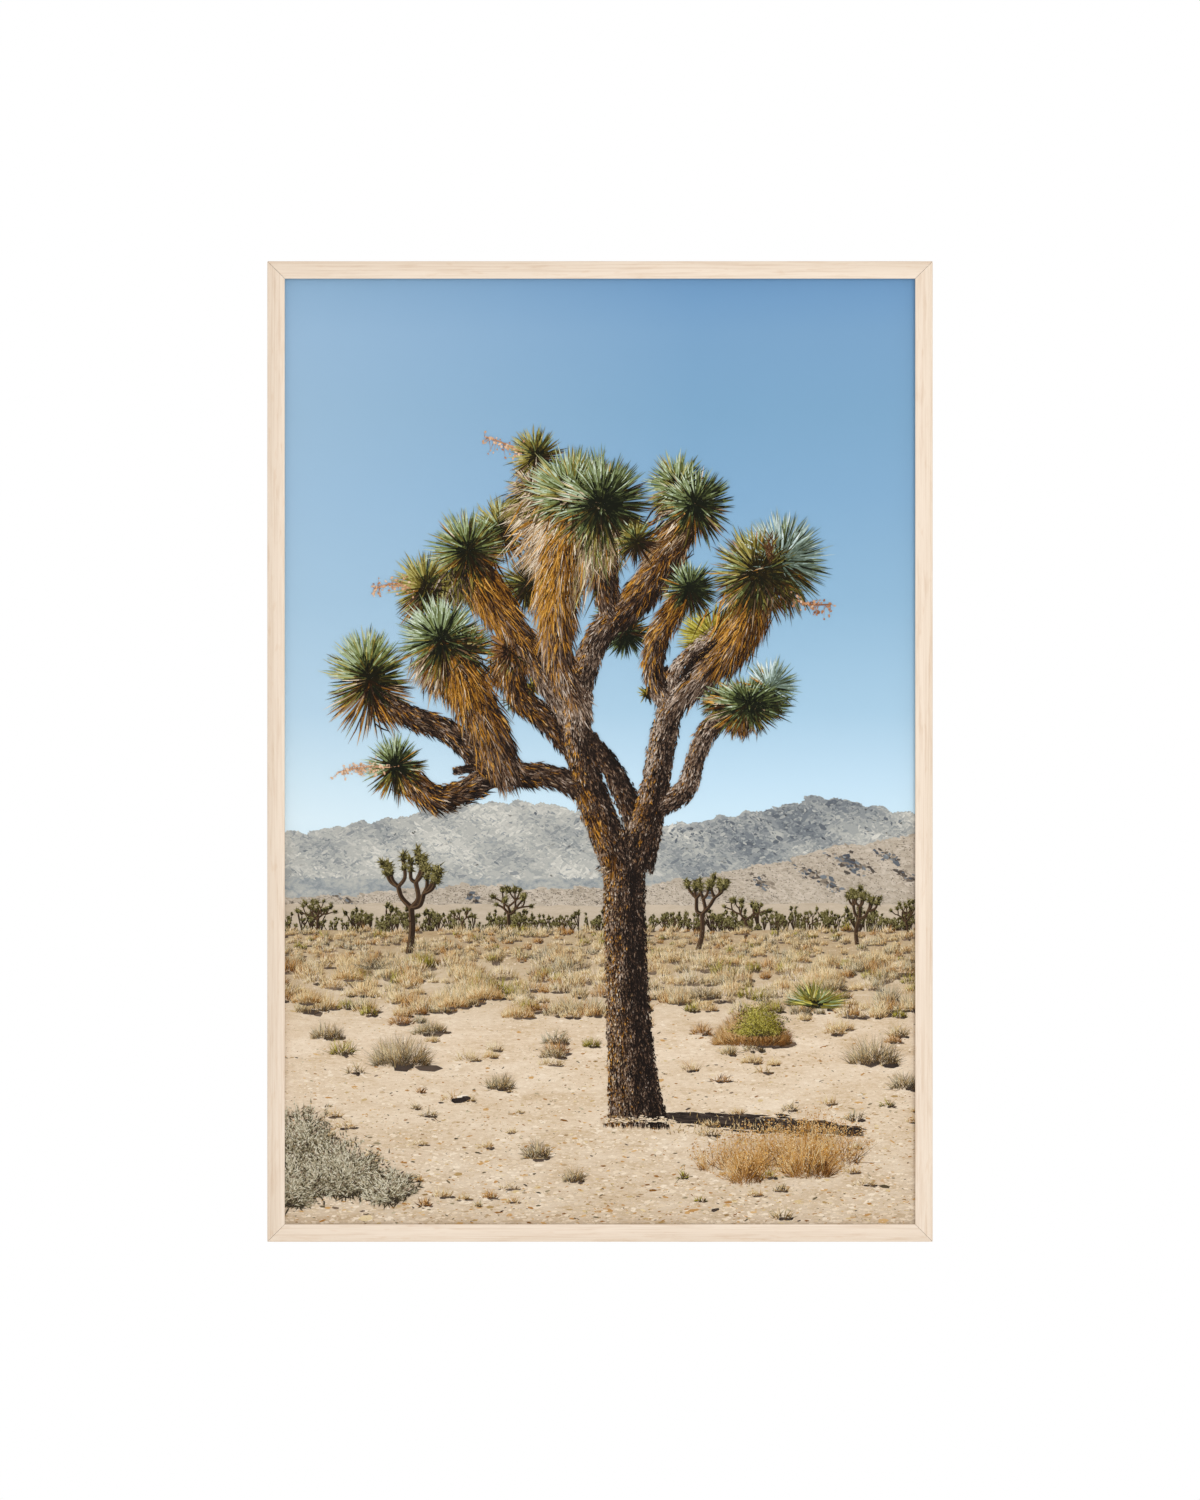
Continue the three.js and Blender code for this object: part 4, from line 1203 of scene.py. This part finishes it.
def addHead(pile, head, rng):
    at = np.array(head["at"], float)
    size = head["size"]
    axis = np.array(head["grow"], float)
    axis /= np.linalg.norm(axis)
    across = np.cross(axis, (0.0, 0.0, 1.0) if abs(axis[2]) < 0.9 else (0.0, 1.0, 0.0))
    across /= np.linalg.norm(across)
    other = np.cross(axis, across)
    back = head.get("back", 0.3)  # how soon dead leaves fold back under the head
    many = int(math.pi * size * size * headSet["perArea"])
    widest = headSet["widest"]
    level = rng.uniform(math.cos(widest), 1, many)
    polar = np.arccos(level)
    spin = rng.uniform(0, 2 * math.pi, many)
    around = across[None, :] * np.cos(spin)[:, None] + other[None, :] * np.sin(spin)[:, None]
    way = axis[None, :] * level[:, None] + np.sin(polar)[:, None] * around
    way[:, 1] -= 0.16 * np.clip(polar - 1.3, 0, 2)  # older leaves droop
    way[:, 1] *= head.get("squat", 1)
    stem = head.get("stem", size * 0.22)
    young = np.clip(1 - polar / widest, 0, 1)
    rootAt = np.zeros((many, 3))
    rootAt[:, :2] = at
    rootAt += axis[None, :] * (young * stem - stem * 0.3)[:, None] + way * size * 0.06
    reach = size * rng.triangular(0.55, 1.0, 1.22, many) * (1 - 0.10 * young)
    tipAt = rootAt + way * reach[:, None]
    keep = way[:, 2] > -0.6
    way, polar, rootAt, tipAt, reach = way[keep], polar[keep], rootAt[keep], tipAt[keep], reach[keep]
    many = len(way)
    lit = np.clip(way @ sun, -0.4, 1)
    dead = rng.random(many) < 1 / (1 + np.exp(-(polar - (2.2 - 0.5 * back)) * 7))
    ageing = rng.random(many) < 1 / (1 + np.exp(-(polar - 0.5 * way[:, 1] - (1.72 - 0.4 * back)) * 5))
    value = 0.27 + head["light"] + 0.32 * lit + 0.10 * way[:, 1] + rng.normal(0, 0.19, many)
    value -= 0.46 * np.clip((way[:, 2] - 0.62) / 0.38, 0, 1)  # leaves that point at the viewer are in shade
    value = np.where((rng.random(many) < 0.14) & (way[:, 2] < 0.7), value + 0.30, value)
    main = head["ink"]
    partner = {"leaf": "olive", "blueLeaf": "leaf", "paleLeaf": "blueLeaf", "olive": "leaf",
               "lime": "olive", "straw": "olive", "rust": "orange"}[main]
    tone = toneFrom((main, partner), (3, 1), value, rng)
    tone = np.where(ageing, toneFrom(("olive", "leaf", "straw", "orange"), (4, 2, 1, 1), value - 0.03, rng),
                    tone)
    tone = np.where(dead, toneFrom(("straw", "orange", "rust"), (4, 3, 1), value + 0.06, rng), tone)
    lift = lifts["tree"] + head["lift"]
    rootLift = lift + rootAt[:, 2] * headSet["reliefPerMm"]
    tipLift = lift + tipAt[:, 2] * headSet["reliefPerMm"]
    width = headSet["width"] * rng.uniform(0.7, 1.15, many) * (0.65 + 0.35 * size / 42)
    addDabs(pile, [at], size * 0.40, size * 0.40, 0.0, lift - 0.05, toneOf("leaf", 0.03), rng, 12)
    addLeaves(pile, rootAt[:, :2], tipAt[:, :2], width, rootLift, tipLift, inkStep(tone, -4),
              inkStep(tone, -1), inkStep(tone, 1), rng.normal(0, 0.02, many) * reach)


# Dead leaves that hang in a fan: where from, which way (degrees), how far, and their colours.
fans = (
    {"at": (262, 672), "to": 238, "wide": 34, "reach": 50, "many": 420, "lift": 0.36,
     "inks": ("straw", "orange"), "weights": (5, 1), "light": 0.30, "spread": 24},
    {"at": (246, 690), "to": 212, "wide": 20, "reach": 34, "many": 260, "lift": 0.34,
     "inks": ("straw", "olive"), "weights": (4, 2), "light": 0.12, "spread": 20},
    {"at": (280, 668), "to": 258, "wide": 20, "reach": 66, "many": 460, "lift": 0.37,
     "inks": ("straw", "olive", "orange"), "weights": (6, 2, 1), "light": 0.16, "spread": 22},
    {"at": (300, 672), "to": 272, "wide": 30, "reach": 44, "many": 320, "lift": 0.42,
     "inks": ("straw", "olive", "leaf"), "weights": (4, 2, 1), "light": 0.10, "spread": 20},
    {"at": (184, 622), "to": 300, "wide": 22, "reach": 46, "many": 300, "lift": 0.20,
     "inks": ("orange", "rust"), "weights": (4, 1), "light": 0.04, "spread": 16},
    {"at": (165, 622), "to": 262, "wide": 30, "reach": 30, "many": 220, "lift": 0.21,
     "inks": ("olive", "grey"), "weights": (2, 1), "light": -0.02, "spread": 20},
    {"at": (160, 545), "to": 272, "wide": 30, "reach": 40, "many": 380, "lift": 0.33,
     "inks": ("orange", "straw", "rust"), "weights": (4, 2, 1), "light": 0.06, "spread": 20},
    {"at": (146, 548), "to": 250, "wide": 20, "reach": 34, "many": 200, "lift": 0.35,
     "inks": ("straw", "grey"), "weights": (2, 1), "light": 0.10, "spread": 14},
    {"at": (108, 432), "to": 318, "wide": 22, "reach": 30, "many": 240, "lift": 0.20,
     "inks": ("orange", "rust"), "weights": (3, 1), "light": 0.02, "spread": 12},
    {"at": (86, 500), "to": 320, "wide": 26, "reach": 24, "many": 170, "lift": 0.13,
     "inks": ("rust", "orange"), "weights": (2, 1), "light": 0.02, "spread": 10},
    {"at": (446, 606), "to": 252, "wide": 22, "reach": 52, "many": 420, "lift": 0.26,
     "inks": ("orange", "olive", "rust"), "weights": (5, 1, 1), "light": 0.04, "spread": 20},
    {"at": (380, 668), "to": 228, "wide": 20, "reach": 44, "many": 300, "lift": 0.22,
     "inks": ("straw", "orange", "rust"), "weights": (3, 2, 2), "light": 0.04, "spread": 16},
    {"at": (381, 598), "to": 232, "wide": 18, "reach": 26, "many": 150, "lift": 0.22,
     "inks": ("orange", "rust"), "weights": (3, 1), "light": 0.0, "spread": 9},
    {"at": (437, 492), "to": 262, "wide": 26, "reach": 24, "many": 200, "lift": 0.16,
     "inks": ("rust", "orange", "grey"), "weights": (3, 1, 1), "light": -0.04, "spread": 14},
    {"at": (214, 548), "to": 262, "wide": 34, "reach": 34, "many": 260, "lift": 0.12,
     "inks": ("rust", "orange", "straw"), "weights": (3, 2, 1), "light": 0.02, "spread": 15},
    {"at": (285, 415), "to": 290, "wide": 14, "reach": 22, "many": 110, "lift": 0.24,
     "inks": ("orange", "rust"), "weights": (4, 1), "light": 0.04, "spread": 6},
    {"at": (297, 388), "to": 293, "wide": 13, "reach": 26, "many": 170, "lift": 0.24,
     "inks": ("orange", "rust"), "weights": (4, 1), "light": 0.06, "spread": 6.5},
    {"at": (313, 352), "to": 272, "wide": 12, "reach": 22, "many": 110, "lift": 0.24,
     "inks": ("orange", "rust", "bark"), "weights": (3, 1, 1), "light": -0.04, "spread": 6},
    {"at": (309, 338), "to": 214, "wide": 40, "reach": 9, "many": 36, "lift": 0.28,
     "inks": ("straw", "grey"), "weights": (1, 1), "light": 0.12, "spread": 7},
    {"at": (304, 650), "to": 268, "wide": 14, "reach": 40, "many": 180, "lift": 0.14,
     "inks": ("straw", "rust"), "weights": (2, 1), "light": 0.06, "spread": 10},
)


def addFan(pile, fan, rng):
    many = int(fan["many"] * 1.05)
    turn = math.radians(fan["to"]) + rng.normal(0, math.radians(fan["wide"]) * 0.5, many)
    main = np.array((math.cos(math.radians(fan["to"])), math.sin(math.radians(fan["to"]))))
    cross = np.array((-main[1], main[0]))
    offset = rng.normal(0, 0.5, many) * fan["spread"]
    slide = rng.uniform(-0.1, 0.75, many) * fan["reach"]
    root = np.array(fan["at"], float) + cross * offset[:, None] + main * slide[:, None]
    reach = fan["reach"] * rng.uniform(0.4, 0.8, many)
    tip = root + np.stack([np.cos(turn), np.sin(turn)], 1) * reach[:, None]
    sideLight = np.clip(-(offset * cross[0]) / fan["spread"], -1, 1)
    value = 0.40 + fan["light"] + 0.14 * sideLight + rng.normal(0, 0.25, many)
    tone = toneFrom(fan["inks"], fan["weights"], value, rng)
    rise = lifts["tree"] + fan["lift"] - 0.05 * slide / fan["reach"] + rng.uniform(0, 0.02, many)
    addBlades(pile, root, tip, 1.45 * rng.uniform(0.5, 1.25, many), rise, rise + 0.01, inkStep(tone, -3),
              tone, rng.normal(0, 0.06, many) * reach)


# Dry flower stalks: a bent stem with seed cases on short stems either side.
stalks = (
    {"path": ((225, 735), (205, 745), (190, 750)), "many": 44, "lift": 0.05, "light": 0.1},
    {"path": ((120, 605), (105, 610), (85, 605)), "many": 60, "lift": 0.20, "light": 0.0},
    {"path": ((100, 435), (75, 435), (50, 430)), "many": 80, "lift": 0.30, "light": 0.2},
    {"path": ((485, 595), (500, 590), (520, 590)), "many": 50, "lift": 0.34, "light": -0.25},
)


def addStalk(pile, stalk, rng):
    table = np.array([(x, y, 0.7) for x, y in stalk["path"]])
    path = smoothPath(table, 1.5)
    lift = lifts["tree"] + stalk["lift"]
    addRibbon(pile, path, lift, toneOf("bloom", 0.3 + stalk["light"]), 1.0)
    many = stalk["many"]
    pick = rng.integers(0, len(path), many)
    away = rng.normal(0, 3.6, (many, 2)) * (1, 1.2) - (0, 1.6)
    spot = path[pick, :2] + away
    addBlades(pile, path[pick, :2], spot, 0.5, lift, lift + 0.01, toneOf("bloom", 0.2),
              toneOf("bloom", 0.4))
    size = rng.uniform(0.7, 1.5, many)
    value = 0.58 + stalk["light"] + rng.normal(0, 0.2, many)
    addDabs(pile, spot, size * 0.8, size * 1.15, rng.uniform(0, 3, many),
            lift + 0.012 + rng.uniform(0, 0.01, many),
            toneOf("bloom", value), rng, 7)


def mainTree():
    rng = np.random.default_rng(61)
    for name, limb in limbs.items():
        pile = newPile()
        addLimb(pile, limb, rng)
        printPile("limb_" + name, pile)
    pile = newPile()
    for fan in fans:
        addFan(pile, fan, rng)
    printPile("dead_leaves", pile)
    for head in heads:
        pile = newPile()
        addHead(pile, head, rng)
        printPile("leaves_" + head["name"], pile)
    pile = newPile()
    for stalk in stalks:
        addStalk(pile, stalk, rng)
    # the dead spike above the right arm
    many = 60
    root = np.array((462, 630)) + rng.normal(0, 1, (many, 2)) * (2, 6) + (0, 12)
    tip = root + rng.normal(0, 1, (many, 2)) * (4.5, 3) + (-1.5, 6)
    addBlades(pile, root, tip, 1.2, lifts["tree"] + 0.56, lifts["tree"] + 0.57,
              toneOf("rust", rng.uniform(0.1, 0.5, many)),
              toneOf("rust", rng.uniform(0.3, 0.7, many)))
    printPile("flower_stalks", pile)


mainTree()


def frontPieces():
    rng = np.random.default_rng(71)
    pile = newPile()
    many = 1100
    along = rng.uniform(0, 1, many)
    right = 350 + 196 * along
    up = 103 - 15 * along + rng.normal(0, 1, many) * (1.2 + 2.2 * np.sin(along * 2.9))
    wide = rng.uniform(3, 9, many)
    addDabs(pile, np.stack([right, up], 1), wide, wide * rng.uniform(0.08, 0.2, many),
            rng.normal(-0.07, 0.03, many),
            lifts["shadow"] + rng.uniform(0, 0.02, many), toneOf("shade", rng.uniform(0.0, 0.36, many)),
            rng)
    many = 130  # lit grass that stands in it
    root = np.stack([rng.uniform(366, 470, many), rng.normal(90, 5, many)], 1)
    tip = root + np.stack([rng.normal(0, 1.6, many), rng.uniform(2, 7, many)], 1)
    addBlades(pile, root, tip, 0.7, lifts["shadow"] + 0.05, lifts["shadow"] + 0.06,
              toneOf("grass", rng.uniform(0.1, 0.5, many)), toneOf("grass", rng.uniform(0.4, 0.9, many)))
    many = 200  # where the trunk meets the sand
    right = rng.uniform(300, 372, many)
    up = 99 + rng.normal(0, 1.6, many) - 0.0014 * (right - 334) ** 2
    addDabs(pile, np.stack([right, up], 1), rng.uniform(0.8, 2.4, many), rng.uniform(0.3, 0.7, many), 0.0,
            lifts["tree"] + 0.3 + rng.uniform(0, 0.01, many),
            toneFrom(("sand", "grass", "shade"), (4, 1, 1),
            rng.uniform(0.3, 0.72, many), rng), rng)
    printPile("trunk_shadow", pile)
    pile = newPile()
    front = lifts["front"] - 0.25
    for right, up, wide, high, count in ((16, 82, 62, 58, 1400), (52, 54, 92, 54, 2200),
                                         (6, 38, 48, 44, 900), (100, 36, 50, 32, 700)):
        addBush(pile, (right, up), wide, high, ("sage", "scrub", "shade"), (7, 2, 1), count, rng, front,
                4.2, 0.58)
        front += 0.06
    printPile("sagebrush", pile)


frontPieces()
